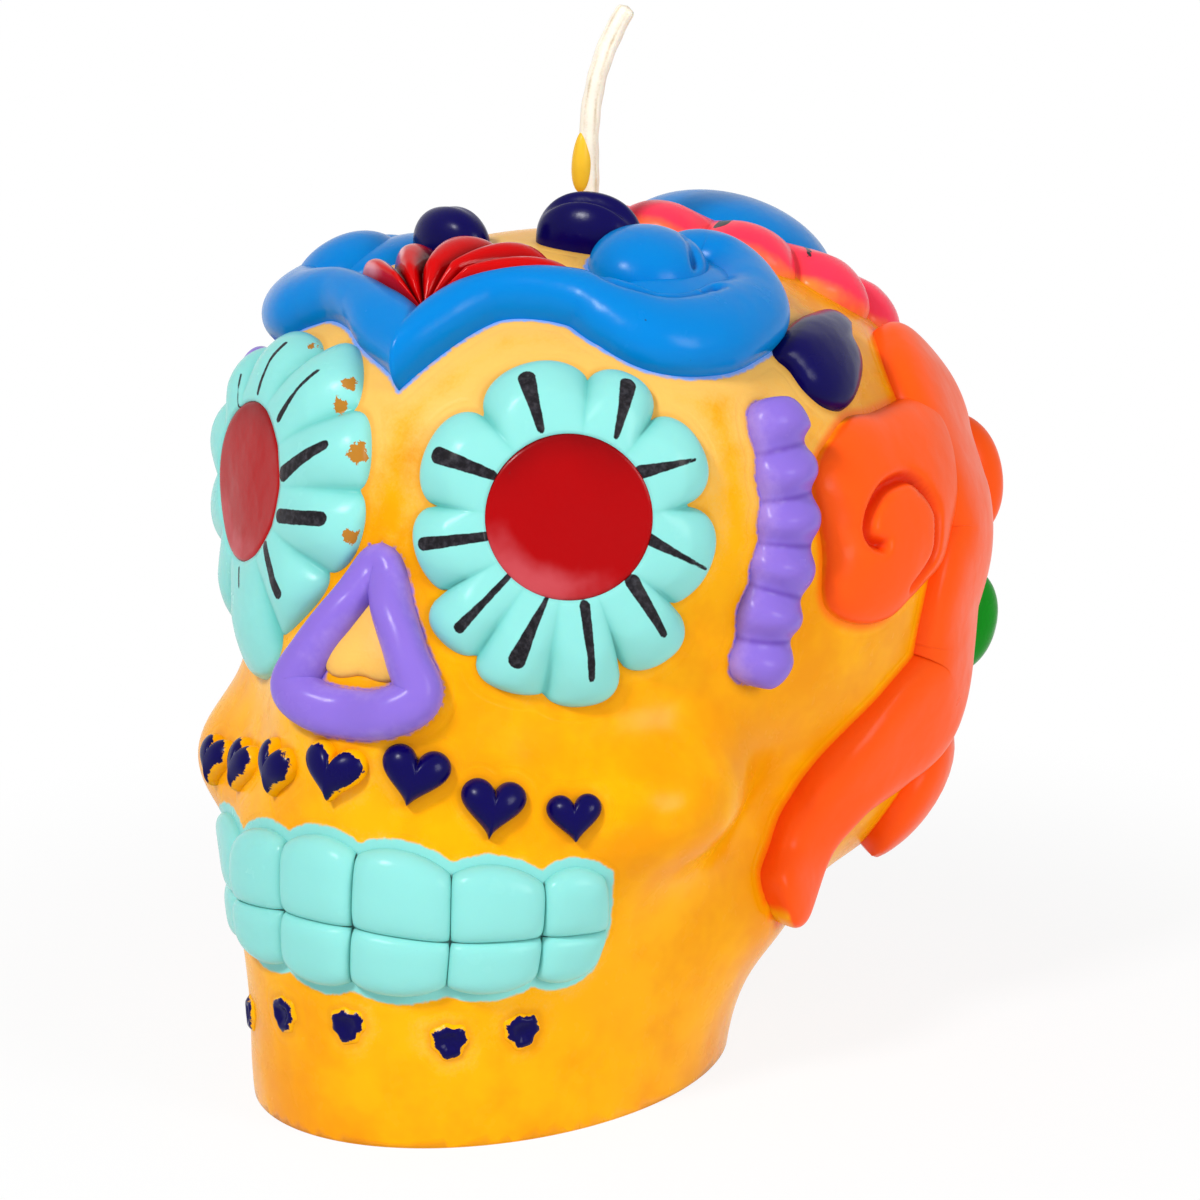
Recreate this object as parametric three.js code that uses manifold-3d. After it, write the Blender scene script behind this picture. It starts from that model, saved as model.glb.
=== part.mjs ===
// A sugar skull candle: a cast wax skull with raised and painted wax ornaments, and a waxed cotton wick.
// The skull stands on the flat cut of its jaw, with the origin at the middle of that face.
// It looks along -Y, +Z is up and +X is the skull's own left. Sizes are in millimetres.
import * as THREE from "three";
import { mergeVertices } from "three/addons/utils/BufferGeometryUtils.js";
import Module from "manifold-3d";

const wasm = await Module();
wasm.setup();

// Overall sizes of the bare wax skull
const skull_width = 70;
const skull_length = 96;
const skull_height = 80;
const skull_blend = 9;

// How the ornaments sit
const seat_gap = 0.3;
const edge_thickness = 0.35;
const eye_gap = 0.4;
const tooth_gap = 0.5;

// How far each ornament stands out
const petal_relief = 1.8;
const eye_disc_relief = 1.1;
const eye_dish_depth = 0.5;
const nose_relief = 3;
const heart_relief = 1.7;
const tooth_relief = 1.7;
const tooth_arch = 1;
const dot_relief = 0.7;
const brow_relief = 4;
const brow_ball_relief = 4.2;
const brow_field_relief = 2.4;
const fan_relief = 3.4;
const crown_leaf_relief = 5.2;
const temple_leaf_relief = 2.6;
const bead_relief = 3;
const scroll_relief = 2.6;
const band_relief = 2.6;
const crown_petal_relief = 2.7;
const crown_dome_relief = 5.6;
const back_relief = 2.4;
const back_side_relief = 5;
const nape_relief = 3;

// Widths of the raised cords and bands
const brow_width = 9.2;
const nose_width = 4.2;
const bead_width = 7;
const side_band_width = 18;
const nape_band_width = 10;

// How far the round ornaments and the fan reach from their middles
const eye_petal_reach = 18.4;
const eye_disc_reach = 8.2;
const crown_flower_reach = 21.2;
const crown_dome_reach = 12;
const brow_ball_reach = 5.4;
const brow_field_reach = 6;
const back_flower_reach = 15.2;
const back_dome_reach = 4.8;
const fan_reach = 10.6;

// Hearts, dots, leaves and buds
const heart_width = 6.2;
const heart_height = 5.8;
const dot_width = 3.6;
const dot_height = 4;
const crown_leaf_length = 9.4;
const crown_leaf_width = 6.2;
const temple_leaf_length = 11.4;
const temple_leaf_width = 7.5;
const back_bud_length = 13;
const back_bud_width = 7;
const back_leaf_length = 12;
const back_leaf_width = 6.5;

// The wick, its tinned tab under the base and the wax run beside it
const wick_radius = 1.05;
const wick_stand_height = 11;
const wick_bend_height = 11.2;
const wick_bend_reach = 3.9;
const wick_bend_angle = 30;
const wick_clearance = 0.3;
const tab_radius = 6;
const tab_thickness = 0.5;
const tab_lift = 0.3;
const tab_collar_height = 4;
const tab_collar_wall = 0.6;
const tab_clearance = 0.5;
const drip_radius = 1.15;
const drip_offset = 1.05;
const drip_height = 4.4;
const drip_bend_distance = 2.5;

const half_turn = Math.PI;
const full_turn = 2 * Math.PI;

// The bare skull is a soft union of round lumps. Their places and half sizes are shares of the skull's
// width, length and height.
const lump_shares = {
  cranium: { at: [0, 0.266, 0.597], half: [0.494, 0.427, 0.39] },
  forehead: { at: [0, 0.088, 0.8], half: [0.395, 0.25, 0.2] },
  brow: { at: [0, 0.026, 0.712], half: [0.346, 0.208, 0.188] },
  midface: { at: [0, 0.012, 0.547], half: [0.302, 0.222, 0.2] },
  nose: { at: [0, -0.172, 0.487], half: [0.136, 0.099, 0.112] },
  cheek: { at: [0.284, -0.046, 0.382], half: [0.131, 0.108, 0.086] },
  muzzle: { at: [0, -0.083, 0.3], half: [0.284, 0.203, 0.214] },
  jaw: { at: [0, 0, 0.05], half: [0.311, 0.297, 0.425] },
  nape: { at: [0, 0.33, 0.36], half: [0.435, 0.25, 0.25] },
  jaw_corner: { at: [0, 0.12, 0.2], half: [0.36, 0.2, 0.14] },
};

function place([x_share, y_share, z_share]) {
  return new THREE.Vector3(x_share * skull_width, y_share * skull_length, z_share * skull_height);
}

const lumps = Object.values(lump_shares).map(({ at, half }) => ({
  centre: place(at),
  half: place(half),
}));

// The distance to one lump, nearly true close to it. The skull is alike on both sides.
function lump_distance(spot, { centre, half }) {
  const from = spot.clone().setX(Math.abs(spot.x)).sub(centre).divide(half);
  const inner = from.length();
  return (inner * (inner - 1)) / from.divide(half).length();
}

function soft_union(a, b) {
  const mix = Math.min(1, Math.max(0, 0.5 + (b - a) / (2 * skull_blend)));
  return b * (1 - mix) + a * mix - skull_blend * mix * (1 - mix);
}

function skull_distance(spot) {
  return lumps.map((lump) => lump_distance(spot, lump)).reduce(soft_union);
}

const slope_step_share = 1e-4;

function slope_at(spot) {
  const step = slope_step_share * skull_height;
  const slope = new THREE.Vector3();
  for (const axis of ["x", "y", "z"]) {
    const ahead = spot.clone();
    const behind = spot.clone();
    ahead[axis] += step;
    behind[axis] -= step;
    slope[axis] = (skull_distance(ahead) - skull_distance(behind)) / (2 * step);
  }
  return slope;
}

// The nearest point of the bare skull, and the direction out of the wax there
const skin_passes = 7;

function skin(near) {
  const spot = near.clone();
  for (let pass = 0; pass < skin_passes; pass += 1) {
    const slope = slope_at(spot);
    spot.addScaledVector(slope, -skull_distance(spot) / slope.lengthSq());
  }
  return { spot, out: slope_at(spot).normalize() };
}

function lifted({ spot, out }, height) {
  return spot.clone().addScaledVector(out, height);
}

// A closed geometry from points and triangles, turned so that its faces point out
function closed_geometry(points, triangles) {
  let volume = 0;
  for (const [a, b, c] of triangles) {
    volume += points[a].dot(points[b].clone().cross(points[c]));
  }
  const faces = volume < 0 ? triangles.map(([a, b, c]) => [a, c, b]) : triangles;
  const geometry = new THREE.BufferGeometry();
  const numbers = points.flatMap((point) => point.toArray());
  geometry.setAttribute("position", new THREE.Float32BufferAttribute(numbers, 3));
  geometry.setIndex(faces.flat());
  geometry.computeVertexNormals();
  return geometry;
}

// A raised ornament: rows of stations over the skull, each with a spot, an out direction and a rise.
// The under side follows the skull at the seat gap. A looped ornament closes on its first row,
// and one with a hub closes on a middle station.
function relief({ rows, looped = false, hub = null }) {
  const points = [];
  const triangles = [];
  const across = rows[0].length;
  const count = rows.length;
  const top = (i, j) => 2 * ((i % count) * across + j);
  const low = (i, j) => top(i, j) + 1;
  for (const station of rows.flat()) {
    points.push(lifted(station, seat_gap + station.rise), lifted(station, seat_gap));
  }
  const quad = (a, b, c, d) => triangles.push([a, b, c], [a, c, d]);
  const steps = looped ? count : count - 1;
  for (let i = 0; i < steps; i += 1) {
    for (let j = 0; j + 1 < across; j += 1) {
      quad(top(i, j), top(i + 1, j), top(i + 1, j + 1), top(i, j + 1));
      quad(low(i, j + 1), low(i + 1, j + 1), low(i + 1, j), low(i, j));
    }
    quad(top(i, across - 1), top(i + 1, across - 1), low(i + 1, across - 1), low(i, across - 1));
    if (!hub) quad(low(i, 0), low(i + 1, 0), top(i + 1, 0), top(i, 0));
  }
  if (hub) {
    const hub_top = points.push(lifted(hub, seat_gap + hub.rise)) - 1;
    const hub_low = points.push(lifted(hub, seat_gap)) - 1;
    for (let i = 0; i < count; i += 1) {
      triangles.push([hub_top, top(i + 1, 0), top(i, 0)]);
      triangles.push([hub_low, low(i, 0), low(i + 1, 0)]);
    }
  }
  if (!looped) {
    for (let j = 0; j + 1 < across; j += 1) {
      quad(top(0, j), top(0, j + 1), low(0, j + 1), low(0, j));
      quad(low(count - 1, j), low(count - 1, j + 1), top(count - 1, j + 1), top(count - 1, j));
    }
  }
  return closed_geometry(points, triangles);
}

// The rise of a cushion of a given relief: full in the middle (0) and thin at the edge (1)
function cushion(relief_height, out_share) {
  const round = Math.sqrt(Math.max(0, 1 - out_share * out_share));
  return edge_thickness + (relief_height - edge_thickness) * round;
}

// The frame of an ornament that lies around one place: across, up and out of the skull
function frame_at(place_shares, up_hint) {
  const middle = skin(place(place_shares));
  const across = up_hint.clone().cross(middle.out).normalize();
  const up = middle.out.clone().cross(across);
  return { ...middle, across, up };
}

function off(frame, across_size, up_size) {
  const near = frame.spot.clone();
  near.addScaledVector(frame.across, across_size);
  near.addScaledVector(frame.up, up_size);
  return skin(near);
}

const skyward = new THREE.Vector3(0, 0, 1);
const rearward = new THREE.Vector3(0, 1, 0);

// A patch around one place. The outline gives its reach in a direction, and the relief is a function of
// the direction and of the share of the way out. A patch with an inner outline is a ring.
function patch({ frame, outline, rise, sides, rings, inner = null }) {
  const rows = [];
  const first = inner ? 0 : 1;
  for (let i = 0; i < sides; i += 1) {
    const angle = (full_turn * i) / sides;
    const outer_reach = outline(angle);
    const inner_reach = inner ? inner(angle) : 0;
    const row = [];
    for (let j = first; j <= rings; j += 1) {
      const way = j / rings;
      const reach = inner_reach + (outer_reach - inner_reach) * way;
      const station = off(frame, reach * Math.cos(angle), reach * Math.sin(angle));
      row.push({ ...station, rise: rise(angle, way) });
    }
    rows.push(row);
  }
  const hub = inner ? null : { ...off(frame, 0, 0), rise: rise(0, 0) };
  return relief({ rows, looped: true, hub });
}

// The share at a way along a list of shares that belong to the points of a path
function share_along(shares, knot) {
  const place_in_list = knot * (shares.length - 1);
  const before = Math.min(shares.length - 2, Math.floor(place_in_list));
  const past = place_in_list - before;
  return shares[before] * (1 - past) + shares[before + 1] * past;
}

// Rows of stations across a raised cord that follows a path over the skull. Its width is a function of
// the way along it and of the way along its list of places.
function cord_rows({ path, count, width, height, across_count, looped = false }) {
  const rows = [];
  const middles = [];
  for (let i = 0; i < count; i += 1) {
    middles.push(skin(path.getPointAt(looped ? i / count : i / (count - 1))));
  }
  for (let i = 0; i < count; i += 1) {
    const before = middles[looped ? (i + count - 1) % count : Math.max(0, i - 1)].spot;
    const after = middles[looped ? (i + 1) % count : Math.min(count - 1, i + 1)].spot;
    const along = after.clone().sub(before);
    const side = middles[i].out.clone().cross(along).normalize();
    const way = i / (count - 1);
    const full_width = width(way, path.getUtoTmapping(way));
    const row = [];
    for (let j = 0; j <= across_count; j += 1) {
      const side_share = Math.sin(half_turn * (j / across_count - 0.5));
      const near = middles[i].spot.clone().addScaledVector(side, (side_share * full_width) / 2);
      row.push({ ...skin(near), rise: cushion(height(way), side_share) });
    }
    rows.push(row);
  }
  return rows;
}

function path_through(places, looped = false) {
  return new THREE.CatmullRomCurve3(places.map(place), looped, "centripetal");
}

// The reach of a closed outline, given by its places, in each direction round a middle
const trace_step_count = 90;

function traced_outline(frame, place_shares) {
  const points = path_through(place_shares, true).getPoints(trace_step_count);
  const directions = points.map((point) => {
    const from_middle = point.clone().sub(frame.spot);
    const across = from_middle.dot(frame.across);
    const up = from_middle.dot(frame.up);
    return { angle: Math.atan2(up, across), reach: Math.hypot(across, up) };
  });
  directions.sort((a, b) => a.angle - b.angle);
  return (angle) => {
    const turned = angle > half_turn ? angle - full_turn : angle;
    const next = directions.find((direction) => direction.angle > turned) ?? directions[0];
    return next.reach;
  };
}

// A cord end that closes in a half round, and the rise of a cord or band that thins towards its ends
const least_end_share = 0.1;
const end_rise_share = 0.7;

function rounded(way, end_share) {
  const from_end = Math.min(way, 1 - way) / end_share;
  return from_end >= 1 ? 1 : Math.sqrt(1 - (1 - from_end) ** 2 * (1 - least_end_share));
}

function thinned(way, end_share) {
  return end_rise_share + (1 - end_rise_share) * rounded(way, end_share);
}

function mirrored_geometry(geometry) {
  const mirrored = geometry.clone();
  const position = mirrored.getAttribute("position");
  const points = [];
  for (let i = 0; i < position.count; i += 1) {
    points.push(new THREE.Vector3(-position.getX(i), position.getY(i), position.getZ(i)));
  }
  const index = Array.from(geometry.index.array);
  const triangles = [];
  for (let i = 0; i < index.length; i += 3) triangles.push([index[i], index[i + 2], index[i + 1]]);
  return closed_geometry(points, triangles);
}

// Booleans on closed geometries
function solid_of(geometry) {
  const bare = geometry.clone();
  bare.deleteAttribute("normal");
  bare.deleteAttribute("uv");
  const merged = mergeVertices(bare);
  return new wasm.Manifold(
    new wasm.Mesh({
      numProp: 3,
      vertProperties: merged.attributes.position.array,
      triVerts: new Uint32Array(merged.index.array),
    }),
  );
}

function geometry_of(solid) {
  const { vertProperties, triVerts } = solid.getMesh();
  const geometry = new THREE.BufferGeometry();
  geometry.setAttribute("position", new THREE.Float32BufferAttribute(vertProperties, 3));
  geometry.setIndex(Array.from(triVerts));
  geometry.computeVertexNormals();
  return geometry;
}

// The wick's line and the recess of its tab
const wick_place_shares = [0.006, 0.221, 1];
const wick_axis = place(wick_place_shares);
const bore_radius = wick_radius + wick_clearance;
const collar_outer = bore_radius + tab_collar_wall;
const recess_radius = tab_radius + tab_clearance;
const recess_depth = tab_lift + tab_thickness + tab_clearance;
const collar_bore_radius = collar_outer + wick_clearance;
const collar_top = tab_lift + tab_thickness + tab_collar_height;

// An upright round cutter from one height to another on the wick's line
const cutter_side_count = 20;
const cut_overrun = 2;

function upright_cutter(radius, from, to) {
  const cutter = new THREE.CylinderGeometry(radius, radius, to - from, cutter_side_count);
  cutter.rotateX(half_turn / 2);
  cutter.translate(wick_axis.x, wick_axis.y, (from + to) / 2);
  return solid_of(cutter);
}

// The skull as level rings up to the widest height, then rings that close on the crown
const side_count = 52;
const level_ring_count = 26;
const crown_ring_count = 15;
const search_passes = 40;
const widest_share = lump_shares.cranium.at[2];

function ring_centre(height) {
  const way = Math.min(1, height / (widest_share * skull_height));
  const smooth = way * way * (3 - 2 * way);
  return new THREE.Vector3(0, lumps[0].centre.y * smooth, height);
}

function surface_along(centre, direction) {
  let inside = 0;
  let outside = skull_length;
  for (let pass = 0; pass < search_passes; pass += 1) {
    const middle = (inside + outside) / 2;
    const deep = skull_distance(centre.clone().addScaledVector(direction, middle)) < 0;
    if (deep) inside = middle;
    else outside = middle;
  }
  return centre.clone().addScaledVector(direction, inside);
}

function skull_ring(centre, lift_angle) {
  const ring = [];
  for (let i = 0; i < side_count; i += 1) {
    const angle = (full_turn * i) / side_count;
    const level = new THREE.Vector3(Math.cos(angle), Math.sin(angle), 0);
    level.multiplyScalar(Math.cos(lift_angle)).setZ(Math.sin(lift_angle));
    ring.push(surface_along(centre, level));
  }
  return ring;
}

function bare_skull() {
  const points = [];
  const widest_height = widest_share * skull_height;
  for (let i = 0; i < level_ring_count; i += 1) {
    points.push(...skull_ring(ring_centre((widest_height * i) / level_ring_count), 0));
  }
  for (let i = 0; i < crown_ring_count; i += 1) {
    points.push(...skull_ring(ring_centre(widest_height), ((half_turn / 2) * i) / crown_ring_count));
  }
  const ring_count = level_ring_count + crown_ring_count;
  const crown = points.push(surface_along(ring_centre(widest_height), skyward)) - 1;
  const base = points.push(new THREE.Vector3(0, 0, 0)) - 1;
  const triangles = [];
  for (let i = 0; i < side_count; i += 1) {
    const next = (i + 1) % side_count;
    for (let ring = 0; ring + 1 < ring_count; ring += 1) {
      const here = ring * side_count;
      const above = here + side_count;
      triangles.push([here + i, here + next, above + next], [here + i, above + next, above + i]);
    }
    const last = (ring_count - 1) * side_count;
    triangles.push([last + i, last + next, crown], [base, next, i]);
  }
  return closed_geometry(points, triangles);
}

function skull_body() {
  const bore = upright_cutter(bore_radius, -cut_overrun, skull_height + cut_overrun);
  const recess = upright_cutter(recess_radius, -cut_overrun, recess_depth);
  const collar_bore = upright_cutter(collar_bore_radius, -cut_overrun, collar_top + wick_clearance);
  return geometry_of(solid_of(bare_skull()).subtract(bore).subtract(recess).subtract(collar_bore));
}

// The wick runs up its bore, stands straight over the crown and bends over to the skull's left
const wick_bend_shares = [
  [0.29, 0.13],
  [0.55, 0.36],
  [0.77, 0.62],
  [1, 1],
];
const wick_half_side_count = 5;
const wick_step_count = 20;
const crown_height = surface_along(wick_axis.clone().setZ(skull_height / 2), skyward).z;
const wick_straight_height = crown_height + wick_stand_height;
const bend_radians = THREE.MathUtils.degToRad(wick_bend_angle);
const bend_way = new THREE.Vector3(Math.cos(bend_radians), Math.sin(bend_radians), 0);

function wick() {
  const straight_heights = [tab_lift, skull_height / 2, wick_straight_height];
  const points = straight_heights.map((height) => wick_axis.clone().setZ(height));
  for (const [up_share, reach_share] of wick_bend_shares) {
    const point = wick_axis.clone().setZ(wick_straight_height + up_share * wick_bend_height);
    points.push(point.addScaledVector(bend_way, reach_share * wick_bend_reach));
  }
  const section = new THREE.Shape();
  section.absarc(0, 0, wick_radius, 0, full_turn, false);
  return new THREE.ExtrudeGeometry(section, {
    steps: wick_step_count,
    curveSegments: wick_half_side_count,
    extrudePath: new THREE.CatmullRomCurve3(points, false, "centripetal"),
  });
}

// The tab is a tinned disc with a crimped collar that grips the wick's foot
const tab_side_count = 24;

function wick_tab() {
  const profile = [
    [bore_radius, tab_lift],
    [tab_radius, tab_lift],
    [tab_radius, tab_lift + tab_thickness],
    [collar_outer, tab_lift + tab_thickness],
    [collar_outer, collar_top],
    [bore_radius, collar_top],
    [bore_radius, tab_lift],
  ].map(([x, y]) => new THREE.Vector2(x, y));
  const tab = new THREE.LatheGeometry(profile, tab_side_count);
  tab.rotateX(half_turn / 2);
  tab.translate(wick_axis.x, wick_axis.y, 0);
  return tab;
}

// A run of body wax that clings to one side of the wick, hollowed where the wick passes
const drip_cap_count = 4;
const drip_side_count = 12;

function wick_drip() {
  const drip = new THREE.CapsuleGeometry(drip_radius, drip_height, drip_cap_count, drip_side_count);
  drip.rotateX(half_turn / 2);
  const middle = wick_axis.clone().setZ(wick_straight_height - drip_bend_distance - drip_height / 2);
  middle.addScaledVector(bend_way, -drip_offset);
  drip.translate(middle.x, middle.y, middle.z);
  const hollow = upright_cutter(wick_radius + seat_gap, skull_height / 2, wick_straight_height);
  return geometry_of(solid_of(drip).subtract(hollow));
}

// Eyes: ten petals round a dished red disc. The two eyes aren't alike. For each notch between two petals the
// table gives its direction in degrees, its reach and the reach of the petal that follows it.
const eye_place_shares = [0.251, -0.141, 0.745];
const left_petal_shares = [
  [-150, 0.74, 0.9],
  [-124, 0.84, 0.95],
  [-98, 0.93, 1],
  [-71, 0.82, 0.93],
  [-42, 0.73, 0.83],
  [3, 0.6, 0.77],
  [48, 0.65, 0.8],
  [80, 0.7, 0.8],
  [128, 0.66, 0.79],
  [175, 0.67, 0.79],
];
const right_petal_shares = [
  [-175, 0.68, 0.84],
  [-138, 0.79, 0.95],
  [-106, 0.9, 1.03],
  [-54, 0.88, 0.9],
  [-23, 0.83, 0.92],
  [8, 0.86, 0.92],
  [37, 0.83, 0.9],
  [73, 0.74, 0.79],
  [116, 0.7, 0.78],
  [147, 0.67, 0.79],
];
const petal_dip_share = 0.45;

// The turn from one direction to another in degrees, from 0 up to a full turn
function turn_on(from, to) {
  return (((to - from) % 360) + 360) % 360;
}

// How far round its petal a direction lies: 0 in the petal's middle and 1 in a notch. The petal's own reach
// and the reach of the line between its two notches go with it.
function petal_at(angle, petals) {
  const turned = THREE.MathUtils.radToDeg(angle);
  const index = petals.findIndex((petal, i) => {
    const next = petals[(i + 1) % petals.length];
    return turn_on(petal.notch_angle, turned) <= turn_on(petal.notch_angle, next.notch_angle);
  });
  const petal = petals[index];
  const next = petals[(index + 1) % petals.length];
  const way = turn_on(petal.notch_angle, turned) / turn_on(petal.notch_angle, next.notch_angle);
  const notch_reach = petal.notch_reach * (1 - way) + next.notch_reach * way;
  return { off_share: Math.abs(2 * way - 1), notch_reach, reach: petal.reach };
}

function petal_ring({ frame, petals, inner_reach, height, sides, rings }) {
  const outline = (angle) => {
    const { off_share, notch_reach, reach } = petal_at(angle, petals);
    return notch_reach + (reach - notch_reach) * Math.sqrt(1 - off_share ** 3);
  };
  const rise = (angle, way) => {
    const puff = 1 - petal_dip_share * petal_at(angle, petals).off_share ** 2;
    return cushion(height * puff, Math.abs(2 * way - 1) ** 2);
  };
  return patch({ frame, outline, rise, sides, rings, inner: () => inner_reach });
}

function eye_frame(side) {
  const [across_share, ...other_shares] = eye_place_shares;
  return frame_at([side * across_share, ...other_shares], skyward);
}

function eye_petals(side, petal_shares) {
  return petal_ring({
    frame: eye_frame(side),
    petals: petal_shares.map(([notch_angle, notch_share, reach_share]) => ({
      notch_angle,
      notch_reach: notch_share * eye_petal_reach,
      reach: reach_share * eye_petal_reach,
    })),
    inner_reach: eye_disc_reach + eye_gap,
    height: petal_relief,
    sides: 60,
    rings: 3,
  });
}

function eye_disc() {
  const frame = eye_frame(1);
  const rise = (angle, way) => eye_disc_relief - eye_dish_depth * (1 - way ** 2);
  return patch({ frame, outline: () => eye_disc_reach, rise, sides: 20, rings: 2 });
}

// The nose: a rounded triangle of raised cord
const nose_corner_shares = [
  [0.013, -0.219, 0.69],
  [0.046, -0.24, 0.644],
  [0.079, -0.255, 0.595],
  [0.103, -0.265, 0.552],
  [0.064, -0.28, 0.532],
  [0.01, -0.29, 0.53],
  [-0.043, -0.285, 0.534],
  [-0.08, -0.275, 0.55],
  [-0.056, -0.265, 0.592],
  [-0.02, -0.245, 0.642],
];
const nose_apex_lift_share = 0.55;

function nose_triangle() {
  const rows = cord_rows({
    path: path_through(nose_corner_shares, true),
    count: 30,
    width: () => nose_width,
    height: (way) => nose_relief * (1 - nose_apex_lift_share * Math.cos(full_turn * way) ** 8),
    across_count: 4,
    looped: true,
  });
  return relief({ rows, looped: true });
}

// Hearts in a row over the lip
const heart_place_shares = [
  [-0.312, -0.165, 0.4],
  [-0.226, -0.2, 0.41],
  [-0.117, -0.254, 0.435],
  [-0.004, -0.28, 0.451],
  [0.102, -0.26, 0.452],
  [0.189, -0.219, 0.411],
  [0.279, -0.173, 0.395],
];
const heart_size_shares = [0.86, 0.95, 1, 1.04, 1.04, 1, 0.84];
const heart_dip_share = 0.38;
const heart_pinch_share = 0.2;

// The reach of a heart outline: two round lobes, a dip on top and a point below
function heart_reach(angle) {
  const up = Math.sin(angle);
  const side = Math.abs(Math.cos(angle));
  const dip = up > 0 ? heart_dip_share * (1 - side) ** 2 : 0;
  const pinch = up < 0 ? heart_pinch_share * Math.sin(2 * Math.acos(side)) : 0;
  return 1 - dip - pinch;
}

// The reach of an oval of a given width and height in a direction
function oval_reach(width, height, angle) {
  return Math.hypot((width / 2) * Math.cos(angle), (height / 2) * Math.sin(angle));
}

function heart(place_shares, size_share) {
  const frame = frame_at(place_shares, skyward);
  const width = heart_width * size_share;
  const height = heart_height * size_share;
  const outline = (angle) => heart_reach(angle) * oval_reach(width, height, angle);
  const rise = (angle, way) => cushion(heart_relief * size_share, way);
  return patch({ frame, outline, rise, sides: 16, rings: 2 });
}

// Teeth: the seams between them on the upper edge, the bite and the lower edge
const seam_shares = [
  { upper: [-0.309, -0.15, 0.322], bite: [-0.297, -0.14, 0.256], lower: [-0.28, -0.148, 0.208] },
  { upper: [-0.207, -0.228, 0.331], bite: [-0.198, -0.24, 0.263], lower: [-0.184, -0.247, 0.215] },
  { upper: [-0.087, -0.276, 0.357], bite: [-0.08, -0.288, 0.276], lower: [-0.079, -0.288, 0.21] },
  { upper: [0.032, -0.285, 0.36], bite: [0.033, -0.295, 0.272], lower: [0.029, -0.295, 0.202] },
  { upper: [0.154, -0.256, 0.34], bite: [0.156, -0.264, 0.259], lower: [0.149, -0.265, 0.202] },
  { upper: [0.25, -0.199, 0.323], bite: [0.245, -0.202, 0.257], lower: [0.236, -0.205, 0.204] },
  { upper: [0.309, -0.152, 0.321], bite: [0.295, -0.139, 0.253], lower: [0.28, -0.149, 0.207] },
];
const tooth_height_shares = [0.7, 1, 1, 1, 1, 0.95];
const tooth_corner_share = 0.3;
const tooth_step_count = 4;

// Where a square's line lies once its corners are rounded: along and aside run from -1 to 1
function rounded_square(along, aside, full_share) {
  return (along * Math.sqrt(1 - tooth_corner_share * aside * aside) * full_share + 1) / 2;
}

// A tooth between two seams. Its free edge arches up in the upper row and down in the lower one.
function tooth(index, from_row, to_row) {
  const free_way = to_row === "upper" ? 1 : -1;
  const relief_height = tooth_relief * tooth_height_shares[index];
  const [low_left, low_right] = [index, index + 1].map((seam) => place(seam_shares[seam][from_row]));
  const [high_left, high_right] = [index, index + 1].map((seam) => place(seam_shares[seam][to_row]));
  const width_share = 1 - tooth_gap / low_left.distanceTo(low_right);
  const height_share = 1 - tooth_gap / low_left.distanceTo(high_left);
  const rows = [];
  for (let i = 0; i <= tooth_step_count; i += 1) {
    const row = [];
    for (let j = 0; j <= tooth_step_count; j += 1) {
      const along = (2 * i) / tooth_step_count - 1;
      const upward = (2 * j) / tooth_step_count - 1;
      const up_share = rounded_square(upward, along, height_share);
      const left = low_left.clone().lerp(high_left, up_share);
      const right = low_right.clone().lerp(high_right, up_share);
      const near = left.lerp(right, rounded_square(along, upward, width_share));
      near.z += free_way * tooth_arch * (1 - along ** 2) * Math.max(0, free_way * upward);
      const out_share = Math.max(Math.abs(along), Math.abs(upward)) ** 2;
      row.push({ ...skin(near), rise: cushion(relief_height, out_share) });
    }
    rows.push(row);
  }
  return relief({ rows });
}

// Dots on the chin
const dot_place_shares = [
  [-0.215, -0.21, 0.125],
  [-0.097, -0.281, 0.142],
  [0.017, -0.295, 0.148],
  [0.149, -0.261, 0.134],
  [0.222, -0.211, 0.139],
];

function chin_dot(place_shares) {
  const outline = (angle) => oval_reach(dot_width, dot_height, angle);
  const rise = (angle, way) => cushion(dot_relief, way);
  return patch({ frame: frame_at(place_shares, skyward), outline, rise, sides: 10, rings: 2 });
}

// The brow scroll: two arms that meet in a point over the nose and curl up round a ball at their ends. A low
// field joins each ball to its arm. The two arms aren't alike. Each place comes with a share of the width.
const left_brow_shares = [
  [0.03, -0.083, 0.947, 0.64],
  [0.056, -0.062, 0.962, 0.57],
  [0.091, -0.043, 0.968, 0.55],
  [0.172, -0.018, 0.963, 0.65],
  [0.224, -0.012, 0.949, 0.82],
  [0.275, 0.002, 0.931, 0.98],
  [0.311, 0.044, 0.925, 1],
  [0.319, 0.093, 0.929, 0.98],
  [0.315, 0.141, 0.932, 0.86],
  [0.29, 0.172, 0.945, 0.74],
  [0.24, 0.199, 0.965, 0.62],
  [0.185, 0.205, 0.985, 0.56],
];
const right_brow_shares = [
  [-0.03, -0.1, 0.936, 0.78],
  [-0.061, -0.097, 0.938, 0.72],
  [-0.113, -0.073, 0.948, 0.56],
  [-0.173, -0.046, 0.95, 0.54],
  [-0.223, -0.03, 0.942, 0.7],
  [-0.265, -0.012, 0.93, 0.88],
  [-0.308, 0.028, 0.922, 0.98],
  [-0.326, 0.075, 0.923, 0.98],
  [-0.318, 0.12, 0.932, 0.86],
  [-0.284, 0.15, 0.95, 0.74],
  [-0.235, 0.165, 0.97, 0.6],
];
const brow_point_shares = [0.002, -0.152, 0.882];
const brow_notch_shares = [-0.002, -0.093, 0.945];
const brow_ball_shares = { left: [0.192, 0.1, 0.985], right: [-0.275, 0.077, 0.955] };
const brow_field_shares = { left: [0.26, 0.1, 0.96], right: [-0.262, 0.1, 0.955] };
const brow_end_share = 0.06;

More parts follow.
